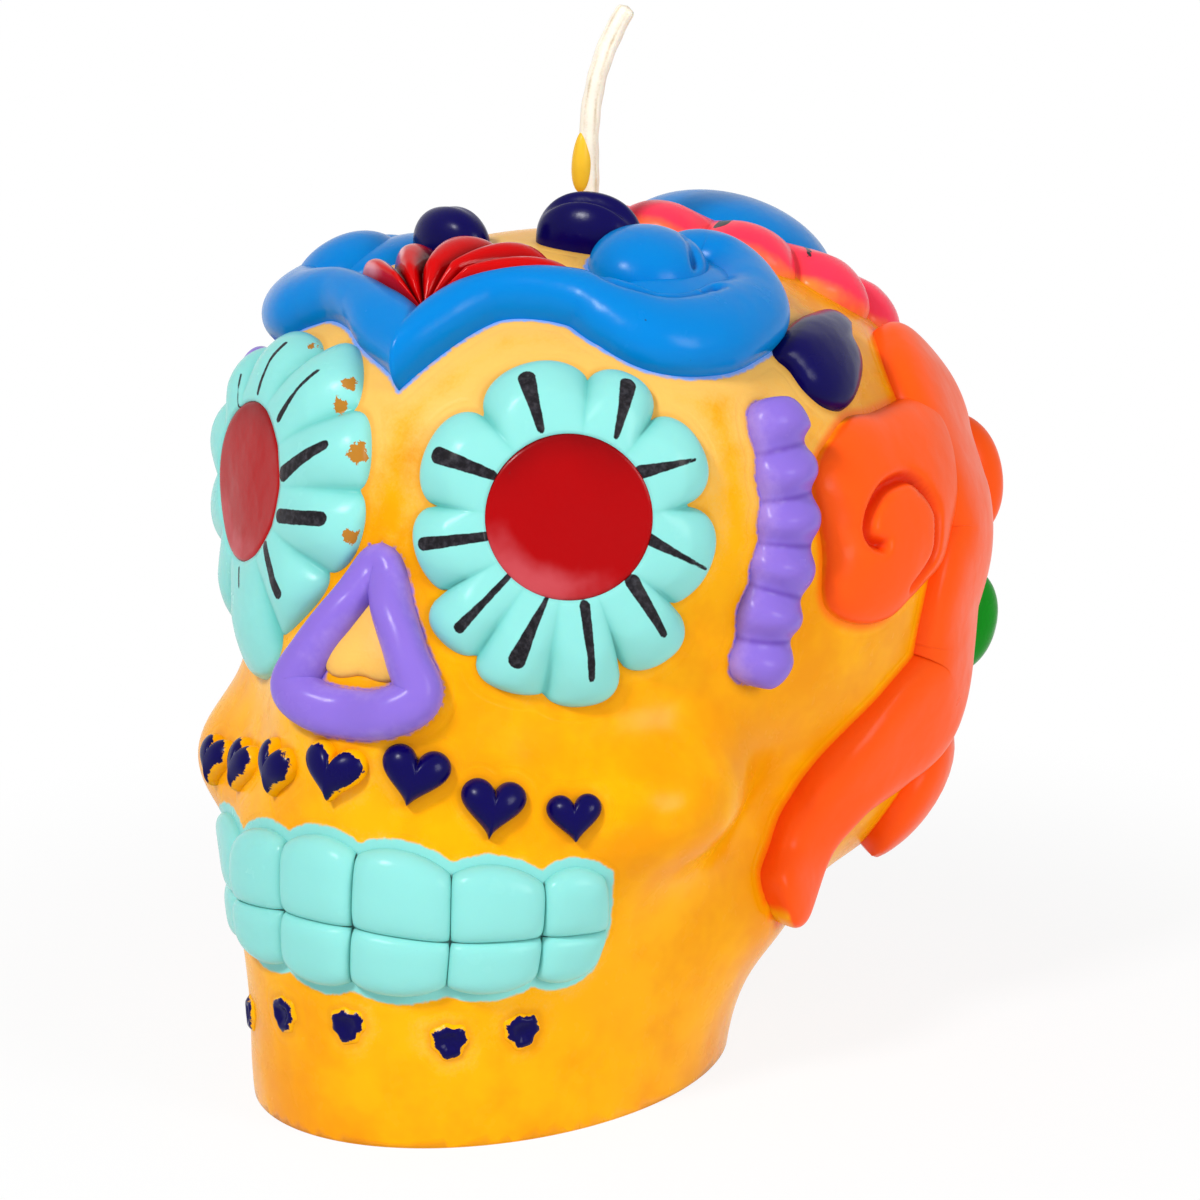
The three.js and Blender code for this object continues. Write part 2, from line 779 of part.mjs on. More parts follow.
function brow_arm(rows_of_shares) {
  const width_shares = rows_of_shares.map((shares) => shares.at(-1));
  const end_share = (way) => (way > 1 - brow_end_share ? rounded(way, brow_end_share) : 1);
  return cord_rows({
    path: path_through(rows_of_shares),
    count: 29,
    width: (way, knot) => brow_width * share_along(width_shares, knot) * end_share(way),
    height: () => brow_relief,
    across_count: 4,
  });
}

function brow_scroll() {
  const left_rows = brow_arm(left_brow_shares);
  const right_rows = brow_arm(right_brow_shares).map((row) => row.reverse());
  const point = place(brow_point_shares);
  const notch = place(brow_notch_shares);
  const corner_row = left_rows[0].map((station, j) => {
    const side_share = Math.sin(half_turn * (j / (left_rows[0].length - 1) - 0.5));
    const near = point.clone().lerp(notch, (side_share + 1) / 2);
    return { ...skin(near), rise: cushion(brow_relief, side_share) };
  });
  const arms = relief({ rows: [...right_rows.reverse(), corner_row, ...left_rows] });
  const balls = Object.values(brow_ball_shares).map((shares) =>
    dome(frame_at(shares, rearward), brow_ball_reach, brow_ball_relief),
  );
  const fields = Object.values(brow_field_shares).map((shares) =>
    dome(frame_at(shares, rearward), brow_field_reach, brow_field_relief),
  );
  const whole = [...balls, ...fields].reduce((sum, form) => sum.add(solid_of(form)), solid_of(arms));
  return geometry_of(whole);
}

// The fan on the forehead: five broad lobes that spread from the notch of the brow scroll. Their edges are
// directions in degrees from straight back, and the fan's own left comes first.
const fan_tip_shares = [-0.004, -0.056, 0.966];
const fan_edge_angles = [44, 29, 10, -15, -31, -46];
const fan_step_count = 30;
const fan_ring_count = 3;
const fan_root_share = 0.2;
const fan_notch_share = 0.06;
const fan_valley_rise_share = 0.7;

// How far a direction lies from the middle of its lobe: 0 there and 1 in a valley
function fan_valley_share(angle) {
  const index = fan_edge_angles.findIndex((edge, i) => angle <= edge && angle >= fan_edge_angles[i + 1]);
  const [from, to] = [fan_edge_angles[index], fan_edge_angles[index + 1]];
  return Math.abs((2 * (from - angle)) / (from - to) - 1);
}

function forehead_fan() {
  const frame = frame_at(fan_tip_shares, rearward);
  const [first_edge, last_edge] = [fan_edge_angles[0], fan_edge_angles.at(-1)];
  const rows = [];
  for (let i = 0; i <= fan_step_count; i += 1) {
    const way_round = i / fan_step_count;
    const turn = first_edge * (1 - way_round) + last_edge * way_round;
    const valley_share = fan_valley_share(turn) ** 2;
    const angle = half_turn / 2 - THREE.MathUtils.degToRad(turn);
    const height = fan_relief * (1 - (1 - fan_valley_rise_share) * valley_share);
    const row = [];
    for (let j = 0; j <= fan_ring_count; j += 1) {
      const way = fan_root_share + (1 - fan_root_share) * (j / fan_ring_count);
      const reach = fan_reach * way * (1 - fan_notch_share * valley_share);
      const station = off(frame, reach * Math.cos(angle), reach * Math.sin(angle));
      const out_share = Math.max(Math.abs(2 * way - 1), Math.abs(2 * way_round - 1)) ** 4;
      row.push({ ...station, rise: cushion(height, out_share) });
    }
    rows.push(row);
  }
  return relief({ rows });
}

// Leaves: ovals, given by their place, length, width and turn
const crown_leaf_shares = { left: [0.062, 0.135, 1.01], right: [-0.088, 0.072, 1] };
const crown_leaf_turn = 15;
const temple_leaf_place_shares = [0.38, 0.225, 0.874];
const temple_leaf_turn = 118;
const upright_turn = 90;

function leaf({ frame, length, width, turn, height }) {
  const turned = THREE.MathUtils.degToRad(turn);
  const outline = (angle) => {
    const along = Math.cos(angle - turned);
    const aside = Math.sin(angle - turned);
    return 1 / Math.hypot(along / (length / 2), aside / (width / 2));
  };
  const rise = (angle, way) => cushion(height, way);
  return patch({ frame, outline, rise, sides: 16, rings: 3 });
}

function crown_leaf(place_shares, turn) {
  return leaf({
    frame: frame_at(place_shares, rearward),
    length: crown_leaf_length,
    width: crown_leaf_width,
    turn,
    height: crown_leaf_relief,
  });
}

function temple_leaf() {
  return leaf({
    frame: frame_at(temple_leaf_place_shares, skyward),
    length: temple_leaf_length,
    width: temple_leaf_width,
    turn: temple_leaf_turn,
    height: temple_leaf_relief,
  });
}

// Beads: six fused beads down the temple
const bead_path_shares = [
  [0.411, 0.075, 0.845],
  [0.422, 0.059, 0.82],
  [0.435, 0.055, 0.763],
  [0.44, 0.052, 0.709],
  [0.441, 0.041, 0.651],
  [0.434, 0.027, 0.6],
  [0.426, 0.021, 0.548],
  [0.421, 0.027, 0.515],
];
const bead_count = 6;
const bead_waist_share = 0.16;
const bead_end_share = 0.08;

function temple_beads() {
  const bead = (way) => 1 - bead_waist_share * Math.cos(half_turn * bead_count * way) ** 2;
  const rows = cord_rows({
    path: path_through(bead_path_shares),
    count: 25,
    width: (way) => bead_width * bead(way) * rounded(way, bead_end_share),
    height: (way) => bead_relief * bead(way) * thinned(way, bead_end_share),
    across_count: 4,
  });
  return relief({ rows });
}

// Side scrolls, which are broad plates, and the bands behind them, down to the jaw
const scroll_outline_shares = [
  [0.422, 0.3, 0.79],
  [0.425, 0.252, 0.798],
  [0.425, 0.202, 0.804],
  [0.432, 0.156, 0.79],
  [0.436, 0.118, 0.76],
  [0.445, 0.108, 0.706],
  [0.454, 0.107, 0.65],
  [0.458, 0.105, 0.602],
  [0.464, 0.125, 0.577],
  [0.478, 0.165, 0.558],
  [0.488, 0.205, 0.562],
  [0.494, 0.25, 0.582],
  [0.492, 0.29, 0.61],
  [0.486, 0.308, 0.655],
  [0.47, 0.3, 0.71],
  [0.448, 0.298, 0.752],
];
const scroll_middle_shares = [0.47, 0.2, 0.68];
const band_shares = [
  [0.372, 0.436, 0.801, 0.56],
  [0.42, 0.42, 0.757, 0.78],
  [0.455, 0.407, 0.681, 0.78],
  [0.468, 0.402, 0.615, 0.74],
  [0.478, 0.38, 0.545, 0.78],
  [0.467, 0.37, 0.476, 0.82],
  [0.46, 0.34, 0.43, 0.82],
  [0.451, 0.27, 0.39, 0.74],
  [0.42, 0.21, 0.352, 0.6],
  [0.384, 0.187, 0.303, 0.5],
  [0.368, 0.161, 0.247, 0.49],
  [0.371, 0.13, 0.214, 0.49],
  [0.37, 0.112, 0.195, 0.46],
];
const band_end_share = 0.05;

function side_scroll() {
  const frame = frame_at(scroll_middle_shares, skyward);
  const outline = traced_outline(frame, scroll_outline_shares);
  const rise = (angle, way) => cushion(scroll_relief, way ** 2);
  return patch({ frame, outline, rise, sides: 32, rings: 4 });
}

function side_band() {
  const width_shares = band_shares.map((shares) => shares.at(-1));
  const rows = cord_rows({
    path: path_through(band_shares),
    count: 27,
    width: (way, knot) => side_band_width * share_along(width_shares, knot) * rounded(way, band_end_share),
    height: (way) => band_relief * thinned(way, band_end_share),
    across_count: 4,
  });
  return relief({ rows });
}

// The flower on the back of the crown, with a round dome in its middle
const crown_flower_shares = [0.03, 0.478, 0.94];
const crown_flower_petal_count = 10;
const flower_notch_share = 0.86;

function even_angles(count) {
  return Array.from(Array(count).keys()).map((i) => (360 * i) / count);
}

function flower_petals({ frame, petal_count, reach, dome_reach, height, sides }) {
  return petal_ring({
    frame,
    petals: even_angles(petal_count).map((notch_angle) => ({
      notch_angle,
      notch_reach: flower_notch_share * reach,
      reach,
    })),
    inner_reach: dome_reach + eye_gap,
    height,
    sides,
    rings: 3,
  });
}

function dome(frame, reach, height) {
  const rise = (angle, way) => cushion(height, way);
  return patch({ frame, outline: () => reach, rise, sides: 20, rings: 3 });
}

const crown_frame = frame_at(crown_flower_shares, rearward);

function crown_flower_petals() {
  return flower_petals({
    frame: crown_frame,
    petal_count: crown_flower_petal_count,
    reach: crown_flower_reach,
    dome_reach: crown_dome_reach,
    height: crown_petal_relief,
    sides: 50,
  });
}

// The back of the head: a flower, two buds, two leaves and a band under them
const back_flower_shares = [0, 0.688, 0.6];
const back_flower_petal_count = 8;
const back_bud_shares = [0.4, 0.565, 0.65];
const back_leaf_shares = [0.4, 0.54, 0.455];
const nape_end_share = 0.12;
const nape_path_shares = [
  [-0.405, 0.4, 0.295],
  [-0.34, 0.47, 0.285],
  [-0.16, 0.56, 0.27],
  [0, 0.585, 0.265],
  [0.16, 0.56, 0.27],
  [0.34, 0.47, 0.285],
  [0.405, 0.4, 0.295],
];

const back_frame = frame_at(back_flower_shares, skyward);

function back_flower_petals() {
  return flower_petals({
    frame: back_frame,
    petal_count: back_flower_petal_count,
    reach: back_flower_reach,
    dome_reach: back_dome_reach,
    height: back_relief,
    sides: 32,
  });
}

function nape_band() {
  const rows = cord_rows({
    path: path_through(nape_path_shares),
    count: 22,
    width: (way) => nape_band_width * rounded(way, nape_end_share),
    height: (way) => nape_relief * thinned(way, nape_end_share),
    across_count: 4,
  });
  return relief({ rows });
}

function back_bud() {
  return leaf({
    frame: frame_at(back_bud_shares, skyward),
    length: back_bud_length,
    width: back_bud_width,
    turn: upright_turn,
    height: back_side_relief,
  });
}

function back_leaf() {
  return leaf({
    frame: frame_at(back_leaf_shares, skyward),
    length: back_leaf_length,
    width: back_leaf_width,
    turn: upright_turn,
    height: back_side_relief,
  });
}

// Materials, one for each wax colour, the wick's cotton and the tab's tinned steel
function wax(color, roughness = 0.35) {
  return new THREE.MeshStandardMaterial({ color, roughness, metalness: 0 });
}

const yellow_wax = wax(0xf5a914);
const blue_wax = wax(0x0c84da);
const mint_wax = wax(0x8fe3d5);
const purple_wax = wax(0x9366d0);
const navy_wax = wax(0x140c54);
const red_wax = wax(0xb40408, 0.25);
const orange_wax = wax(0xff5a22);
const pink_wax = wax(0xff4a68);
const green_wax = wax(0x0f8a1c);
const cotton = new THREE.MeshStandardMaterial({ color: 0xe6d8c2, roughness: 0.8, metalness: 0 });
const tinned_steel = new THREE.MeshStandardMaterial({ color: 0xb9bcc0, roughness: 0.4, metalness: 1 });

const candle = new THREE.Group();

function add(name, geometry, material) {
  const mesh = new THREE.Mesh(geometry, material);
  mesh.name = name;
  candle.add(mesh);
}

// A piece on the skull's left, and its mirror image on the right
function add_pair(ending, geometry, material) {
  add(`left_${ending}`, geometry, material);
  add(`right_${ending}`, mirrored_geometry(geometry), material);
}

add("skull_body", skull_body(), yellow_wax);
add("wick", wick(), cotton);
add("wick_tab", wick_tab(), tinned_steel);
add("wick_drip", wick_drip(), yellow_wax);
add("left_eye_petals", eye_petals(1, left_petal_shares), mint_wax);
add("right_eye_petals", eye_petals(-1, right_petal_shares), mint_wax);
add_pair("eye_disc", eye_disc(), red_wax);
add("nose_triangle", nose_triangle(), purple_wax);
heart_place_shares.forEach((shares, i) => {
  add(`lip_heart_${i + 1}`, heart(shares, heart_size_shares[i]), navy_wax);
});
for (let i = 0; i + 1 < seam_shares.length; i += 1) {
  add(`upper_tooth_${i + 1}`, tooth(i, "bite", "upper"), mint_wax);
  add(`lower_tooth_${i + 1}`, tooth(i, "lower", "bite"), mint_wax);
}
dot_place_shares.forEach((shares, i) => add(`chin_dot_${i + 1}`, chin_dot(shares), navy_wax));
add("brow_scroll", brow_scroll(), blue_wax);
add("forehead_fan", forehead_fan(), red_wax);
add("left_crown_leaf", crown_leaf(crown_leaf_shares.left, crown_leaf_turn), navy_wax);
add("right_crown_leaf", crown_leaf(crown_leaf_shares.right, 2 * upright_turn - crown_leaf_turn), navy_wax);
add_pair("temple_leaf", temple_leaf(), navy_wax);
add_pair("temple_beads", temple_beads(), purple_wax);
add_pair("side_scroll", side_scroll(), orange_wax);
add_pair("side_band", side_band(), orange_wax);
add("crown_flower_petals", crown_flower_petals(), pink_wax);
add("crown_flower_dome", dome(crown_frame, crown_dome_reach, crown_dome_relief), blue_wax);
add("back_flower_petals", back_flower_petals(), orange_wax);
add("back_flower_dome", dome(back_frame, back_dome_reach, back_relief), blue_wax);
add_pair("back_bud", back_bud(), orange_wax);
add_pair("back_leaf", back_leaf(), green_wax);
add("nape_band", nape_band(), orange_wax);

export default candle;
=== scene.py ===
# %% [markdown]
# # A sugar skull candle, cell by cell
# The candle is one casting of yellow wax. The mould gives it a skull's shape with raised flowers, scrolls,
# hearts and teeth, and each raised form is then painted by hand with coloured wax. A stiff cotton wick
# stands in it. We load the candle's solids first, because they fix the size and the place of each piece.

# %% Load the solids
import math

import bmesh
import bpy
import numpy as np
from mathutils import Matrix, Vector
from mathutils.kdtree import KDTree


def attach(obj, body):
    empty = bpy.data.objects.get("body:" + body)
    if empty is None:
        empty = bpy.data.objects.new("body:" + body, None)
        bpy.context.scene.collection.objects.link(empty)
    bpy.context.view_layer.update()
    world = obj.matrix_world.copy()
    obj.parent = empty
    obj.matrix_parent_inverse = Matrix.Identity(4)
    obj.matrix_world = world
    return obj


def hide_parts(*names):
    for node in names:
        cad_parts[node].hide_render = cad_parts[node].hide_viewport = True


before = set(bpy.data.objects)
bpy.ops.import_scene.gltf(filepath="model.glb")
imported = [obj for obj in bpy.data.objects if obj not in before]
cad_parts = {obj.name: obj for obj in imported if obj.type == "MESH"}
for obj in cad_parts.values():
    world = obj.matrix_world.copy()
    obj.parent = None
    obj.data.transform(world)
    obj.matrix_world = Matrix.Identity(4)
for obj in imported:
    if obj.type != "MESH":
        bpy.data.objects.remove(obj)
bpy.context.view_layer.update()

# %% [markdown]
# ## Where the camera stands
# The photograph looks down a little on the skull, from its left. We turn the view by 30 degrees round the
# upright axis and lift it by 13.5 degrees. A long lens keeps the skull from looking drawn out of shape.
# The same numbers also tell where a spot of the photograph lies on the skull, so we keep them in arrays.

# %% Camera
MM = 0.001
# the photograph is 1200 pixels wide and high, and this many of them make a millimetre on the candle
photo_middle = 600
photo_per_mm = 10
view_distance = 500 * MM
view_turn = math.radians(30)
view_lift = math.radians(13.5)
view_roll = math.radians(0.8)
# the pixel of the origin, which lies on the floor under the middle of the jaw
base_spot = (493.5, 1056.5)


def add_object(name, data):
    made = bpy.data.objects.new(name, data)
    bpy.context.scene.collection.objects.link(made)
    return made


back = np.array([
    math.sin(view_turn) * math.cos(view_lift),
    -math.cos(view_turn) * math.cos(view_lift),
    math.sin(view_lift),
])
level = np.array([math.cos(view_turn), math.sin(view_turn), 0.0])
upward = np.cross(back, level)
right = math.cos(view_roll) * level - math.sin(view_roll) * upward
up = math.sin(view_roll) * level + math.cos(view_roll) * upward
view_axes = np.array([right, up, back])
base_offset = np.array([base_spot[0] - photo_middle, photo_middle - base_spot[1], 0]) / photo_per_mm * MM
eye_point = view_axes.T @ (np.array([0, 0, view_distance]) - base_offset)

lens = bpy.data.cameras.new("camera")
lens.lens = 150
lens.sensor_width = 36
lens.clip_start = 10 * MM
camera = add_object("camera", lens)
camera.matrix_world = Matrix.Translation(eye_point) @ Matrix(view_axes.T.tolist()).to_4x4()
bpy.context.scene.camera = camera
print("camera at", np.round(eye_point / MM), "mm")

# %% [markdown]
# ## The skull's shape
# A modeller would push balls of clay together and smooth the joints. We do the same with numbers: ten
# round lumps, each with a place and half sizes, are blended into one smooth surface. Distances to that
# surface are easy to work out, and this lets every ornament lie on the skull exactly. Four short helpers
# come first, because most cells use them.

# %% Short helpers for arrays
def clamp(numbers):
    """Keeps numbers between 0 and 1."""
    return np.clip(numbers, 0, 1)


def bell(numbers):
    """1 at 0, falling softly to nothing on both sides."""
    return np.exp(-(numbers**2))


def normed(vectors):
    """The same directions with a length of 1."""
    return vectors / np.linalg.norm(vectors, axis=1)[:, None]


def points_of(mesh):
    return np.array([vert.co for vert in mesh.verts])


# %% Lumps and the distance to the skull
skull_size = np.array([70, 96, 80]) * MM
skull_blend = 9 * MM
settle_steps = 6
lump_shares = {
    "cranium": ([0, 0.266, 0.597], [0.494, 0.427, 0.39]),
    "forehead": ([0, 0.088, 0.8], [0.395, 0.25, 0.2]),
    "brow": ([0, 0.026, 0.712], [0.346, 0.208, 0.188]),
    "midface": ([0, 0.012, 0.547], [0.302, 0.222, 0.2]),
    "nose": ([0, -0.172, 0.487], [0.136, 0.099, 0.112]),
    "cheek": ([0.284, -0.046, 0.382], [0.131, 0.108, 0.086]),
    "muzzle": ([0, -0.083, 0.3], [0.284, 0.203, 0.214]),
    "jaw": ([0, 0, 0.05], [0.311, 0.297, 0.425]),
    "nape": ([0, 0.33, 0.36], [0.435, 0.25, 0.25]),
    "jaw corner": ([0, 0.12, 0.2], [0.36, 0.2, 0.14]),
}


def skull_distance(points):
    """How far each point lies outside the wax, in metres."""
    folded = points.copy()
    folded[:, 0] = np.abs(folded[:, 0])
    nearest = None
    for at, half in lump_shares.values():
        half_size = np.array(half) * skull_size
        unit = (folded - np.array(at) * skull_size) / half_size
        length = np.linalg.norm(unit, axis=1)
        steepness = np.linalg.norm(unit / half_size, axis=1)
        gap = length * (length - 1) / np.maximum(steepness, 1e-9)
        if nearest is None:
            nearest = gap
            continue
        mix = clamp(0.5 + (gap - nearest) / (2 * skull_blend))
        nearest = gap * (1 - mix) + nearest * mix - skull_blend * mix * (1 - mix)
    return nearest


def slope(points):
    """The direction in which the distance grows, for each point."""
    step = 0.01 * MM
    parts = []
    for axis in np.eye(3):
        rise = skull_distance(points + step * axis) - skull_distance(points - step * axis)
        parts.append(rise / (2 * step))
    return np.stack(parts, axis=1)


def onto_skull(points):
    """The nearest spots of the bare skull, and the directions out of the wax there."""
    spots = np.array(points, float)
    for _ in range(settle_steps):
        steep = slope(spots)
        spots -= steep * (skull_distance(spots) / np.maximum((steep**2).sum(axis=1), 1e-9))[:, None]
    return spots, normed(slope(spots))


# a search along a ray starts this far before the origin, nearer than any wax, and takes careful steps
before_skull = 120 * MM
ray_steps = 160
ray_pace = 0.7
least_ray_step = 0.03 * MM


def seen(photo_spots, height=0.0):
    """Where spots of the photograph, in its pixels, lie at a height over the wax, or pass nearest to it."""
    flat = (np.array(photo_spots, float) - photo_middle) / photo_per_mm * MM / view_distance
    rays = normed(np.stack([flat[:, 0], -flat[:, 1], -np.ones(len(flat))], axis=1) @ view_axes)
    way = np.full(len(rays), view_distance - before_skull)
    closest, least = way.copy(), np.full(len(rays), np.inf)
    for _ in range(ray_steps):
        gap = skull_distance(eye_point + rays * way[:, None]) - height
        closest = np.where(np.abs(gap) < least, way, closest)
        least = np.minimum(np.abs(gap), least)
        way += np.maximum(ray_pace * gap, least_ray_step)
    return eye_point + rays * closest[:, None]


check = seen([(569, 518)])
print("the middle of the left eye lies at", np.round(check / MM, 1), "mm")

# %% [markdown]
# ## How an ornament is cast
# Each ornament is a puffy form that swells out of the skull. We start from a flat grid, lay it over the
# skull, and lift each point by the form's height. The last row sinks into the wax, so the form grows out
# of the skull with no gap. The grid also carries marks for the painter, such as how far a point is from
# the ornament's foot.

# %% Grids laid over the skull
sink = 0.45 * MM
sink_sharpness = 60
merge_gap = 0.004 * MM
piece_names = []
paints = {}
rims = {}


def puff(out_share, fullness=2.0):
    """The height of a puffy form: 1 in its middle (0), falling round to 0 at its foot (1)."""
    return np.sqrt(clamp(1 - clamp(out_share) ** fullness))


def even_out(shares):
    """Steps from 0 to 1 that crowd towards 1, where a puffy form turns down."""
    return np.sin(shares * math.pi / 2)


def grid(u_count, v_count):
    """A grid's mesh, and how far each point lies along and across it, from 0 to 1."""
    mesh = bmesh.new()
    bmesh.ops.create_grid(mesh, x_segments=u_count, y_segments=v_count, size=1)
    places = points_of(mesh)
    return mesh, (places[:, 0] + 1) / 2, (places[:, 1] + 1) / 2


def set_marks(mesh, marks):
    """Numbers that the painter reads, one for each point."""
    for name, numbers in marks.items():
        layer = mesh.verts.layers.float.new(name)
        for vert, number in zip(mesh.verts, numbers):
            vert[layer] = number


def move_points(mesh, points):
    for vert, point in zip(mesh.verts, points):
        vert.co = point


def close_mesh(mesh, under, open_row=False):
    """Gives a sheet its under side, sunk in the wax, joins the points that meet and closes what is open."""
    top_count = len(mesh.verts)
    sheet = mesh.verts[:] + mesh.edges[:] + mesh.faces[:]
    copied = bmesh.ops.duplicate(mesh, geom=sheet)["geom"]
    bmesh.ops.reverse_faces(mesh, faces=[item for item in copied if isinstance(item, bmesh.types.BMFace)])
    for vert, point in zip(mesh.verts[top_count:], under):
        vert.co = point
    bmesh.ops.remove_doubles(mesh, verts=mesh.verts, dist=merge_gap)
    open_edges = [edge for edge in mesh.edges if edge.is_boundary]
    if open_edges and not open_row:
        bmesh.ops.bridge_loops(mesh, edges=open_edges)
    bmesh.ops.recalc_face_normals(mesh, faces=mesh.faces)


def note_rim(mesh, paint_name):
    """Keeps the line where an ornament meets the wax. Its foot marks are zero there."""
    foot = mesh.verts.layers.float["foot"]
    edge_points = [list(vert.co) for vert in mesh.verts if vert[foot] < 0.02]
    rims.setdefault(paint_name, []).extend(onto_skull(np.array(edge_points))[0].tolist())


def mesh_object(mesh, name):
    data = bpy.data.meshes.new(name)
    mesh.to_mesh(data)
    mesh.free()
    return add_object(name, data)


def finish_piece(mesh, name, paint_name, *nodes, seated=True):
    """Makes the object, lets it ride on the candle and puts it in place of its solids.

    A seated piece has a foot on the wax, where the painter adds a fringe.
    """
    if seated:
        note_rim(mesh, paint_name)
    piece = mesh_object(mesh, name)
    piece.data.polygons.foreach_set("use_smooth", [True] * len(piece.data.polygons))
    material, slot_name = paints[paint_name]
    piece.data.materials.append(material)
    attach(piece, "root")
    if nodes:
        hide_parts(*nodes)
    piece_names.append(name)


def cast(near, height, out_share):
    """Points of a sheet laid over the skull and lifted, and of its under side, which lies in the wax."""
    spots, outs = onto_skull(near)
    lift = height - sink * clamp(out_share) ** sink_sharpness
    return spots + outs * lift[:, None], spots - outs * sink


def mirrored(piece_mesh):
    """The same mesh for the other side of the skull."""
    other = piece_mesh.copy()
    bmesh.ops.scale(other, vec=(-1, 1, 1), verts=other.verts)
    bmesh.ops.reverse_faces(other, faces=other.faces)
    return other


def finish_pair(mesh, name, paint_name, node_name):
    """The piece on the candle's left and its mirror image on the right."""
    other = mirrored(mesh)
    finish_piece(mesh, "left_" + name, paint_name, "left_" + node_name)
    finish_piece(other, "right_" + name, paint_name, "right_" + node_name)


# %% [markdown]
# ## Round ornaments and cords
# Most ornaments are one of two kinds. A patch spreads round a middle, like a petal flower or a heart. A cord
# follows a line over the skull, like the brow scroll. One helper makes each kind.

# %% Patches
def frame_at(place, up_hint=(0, 0, 1)):
    """A middle on the skull with the directions across, up and out of it."""
    spots, outs = onto_skull(np.array([place], float))
    across = np.cross(np.array(up_hint, float), outs[0])
    across /= np.linalg.norm(across)
    return spots[0], across, np.cross(outs[0], across)


def share_place(*shares):
    return np.array(shares) * skull_size


def flat_points(middle, reach, angle):
    """Points round a middle, at a reach and an angle."""
    spot, across, upwards = middle
    return spot + np.outer(reach * np.cos(angle), across) + np.outer(reach * np.sin(angle), upwards)


def drop(points, direction, steps=7, least_slope=0.25):
    """Moves points straight along a direction until they meet the bare skull."""
    spots = points.copy()
    for _ in range(steps):
        steep = np.maximum(slope(spots) @ direction, least_slope)
        spots -= np.outer(skull_distance(spots) / steep, direction)
    return spots


def patch(middle, outline, height, sides, rings, inner=None, extra=None):
    """A form round a middle. outline depends on the angle, height also on the share of the way out."""
    mesh, turn, way = grid(sides, rings)
    angle = turn * 2 * math.pi
    out = even_out(way)
    outer = outline(angle)
    start = inner(angle) if inner else 0 * angle
    reach = start + (outer - start) * out
    near = drop(flat_points(middle, reach, angle), np.cross(middle[1], middle[2]))
    points, under = cast(near, height(angle, out), out)
    move_points(mesh, points)
    marks = {"foot": (outer - reach) / MM}
    if extra:
        marks.update(extra(angle, out, reach))
    set_marks(mesh, marks)
    close_mesh(mesh, under)
    return mesh


def puffed(middle, reach, lift, fullness, sides, rings):
    """A plain puffy form. reach is a length or a function of the angle."""
    outline = reach if callable(reach) else lambda angle: reach + 0 * angle
    return patch(middle, outline, lambda angle, out: lift * puff(out, fullness), sides, rings)


# %% Cords
def smooth_line(places, count, looped=False):
    """Evenly spaced points on a smooth line through places."""
    places = np.array(places, float)
    if looped:
        padded = np.vstack([places[-1], places, places[:2]])
    else:
        padded = np.vstack([2 * places[0] - places[1], places, 2 * places[-1] - places[-2]])
    before, start, end, after = padded[:-3], padded[1:-2], padded[2:-1], padded[3:]
    steps = (start - before, end - start, after - end)
    gaps = [np.sqrt(np.linalg.norm(step, axis=1))[:, None] for step in steps]
    run = (end - start) / gaps[1]
    leave = ((start - before) / gaps[0] - (end - before) / (gaps[0] + gaps[1]) + run) * gaps[1]
    arrive = (run - (after - start) / (gaps[1] + gaps[2]) + (after - end) / gaps[2]) * gaps[1]
    t = np.linspace(0, 1, 32, endpoint=False)[:, None, None]
    curve = (2 * t**3 - 3 * t**2 + 1) * start + (t**3 - 2 * t**2 + t) * leave
    curve = curve + (3 * t**2 - 2 * t**3) * end + (t**3 - t**2) * arrive
    dense = np.vstack([curve.transpose(1, 0, 2).reshape(-1, places.shape[1]), end[-1]])
    travelled = np.concatenate([[0], np.cumsum(np.linalg.norm(np.diff(dense[:, :3], axis=0), axis=1))])
    wanted = np.linspace(0, travelled[-1], count)
    return np.stack([np.interp(wanted, travelled, column) for column in dense.T], axis=1)


def line_sides(line, looped=False):
    """The spots of a line on the skull, and the direction across it at each."""
    spots, outs = onto_skull(line)
    if looped:
        along = np.roll(spots[:-1], -1, axis=0) - np.roll(spots[:-1], 1, axis=0)
        along = np.vstack([along, along[0]])
    else:
        along = np.gradient(spots, axis=0)
    return spots, normed(np.cross(outs, along))


def round_ends(way, end_share):
    """The width of a cord that closes in half rounds at its ends, as a share."""
    from_end = clamp(np.minimum(way, 1 - way) / end_share)
    return np.sqrt(clamp(1 - (1 - from_end) ** 2))


def wide_places(rows):
    """Places with a width in their last column: shares of the skull's size and millimetres."""
    rows = np.array(rows, float)
    return np.hstack([rows[:, :3] * skull_size, rows[:, 3:] * MM])


def cord(places, steps, sides, width, height, looped=False, extra=None, bend=None):
    """A raised cord. width gives, along its way, the share of the width that its places carry."""
    mesh, along, across = grid(steps, sides)
    line = smooth_line(places, steps + 1, looped)
    spots, side_ways = line_sides(line[:, :3], looped)
    index = np.rint(along * steps).astype(int)
    aside = np.sin((across - 0.5) * math.pi)
    half = line[index, 3] * width(along) / 2
    near = spots[index] + side_ways[index] * (aside * half)[:, None]
    if bend:
        near = bend(near, along, aside)
    points, under = cast(near, height(along, np.abs(aside)), np.abs(aside))
    move_points(mesh, points)
    marks = {"foot": (1 - np.abs(aside)) * half / MM}
    if extra:
        marks.update(extra(along, aside, half))
    set_marks(mesh, marks)
    close_mesh(mesh, under, open_row=bend is not None)
    return mesh

# %% [markdown]
# ## Shader sums in Python
# A material is a graph of nodes. Writing it as sums makes it easier to read, so a small class wraps a
# node's output: adding two wrapped outputs adds a Math node. One method makes every other kind of node.

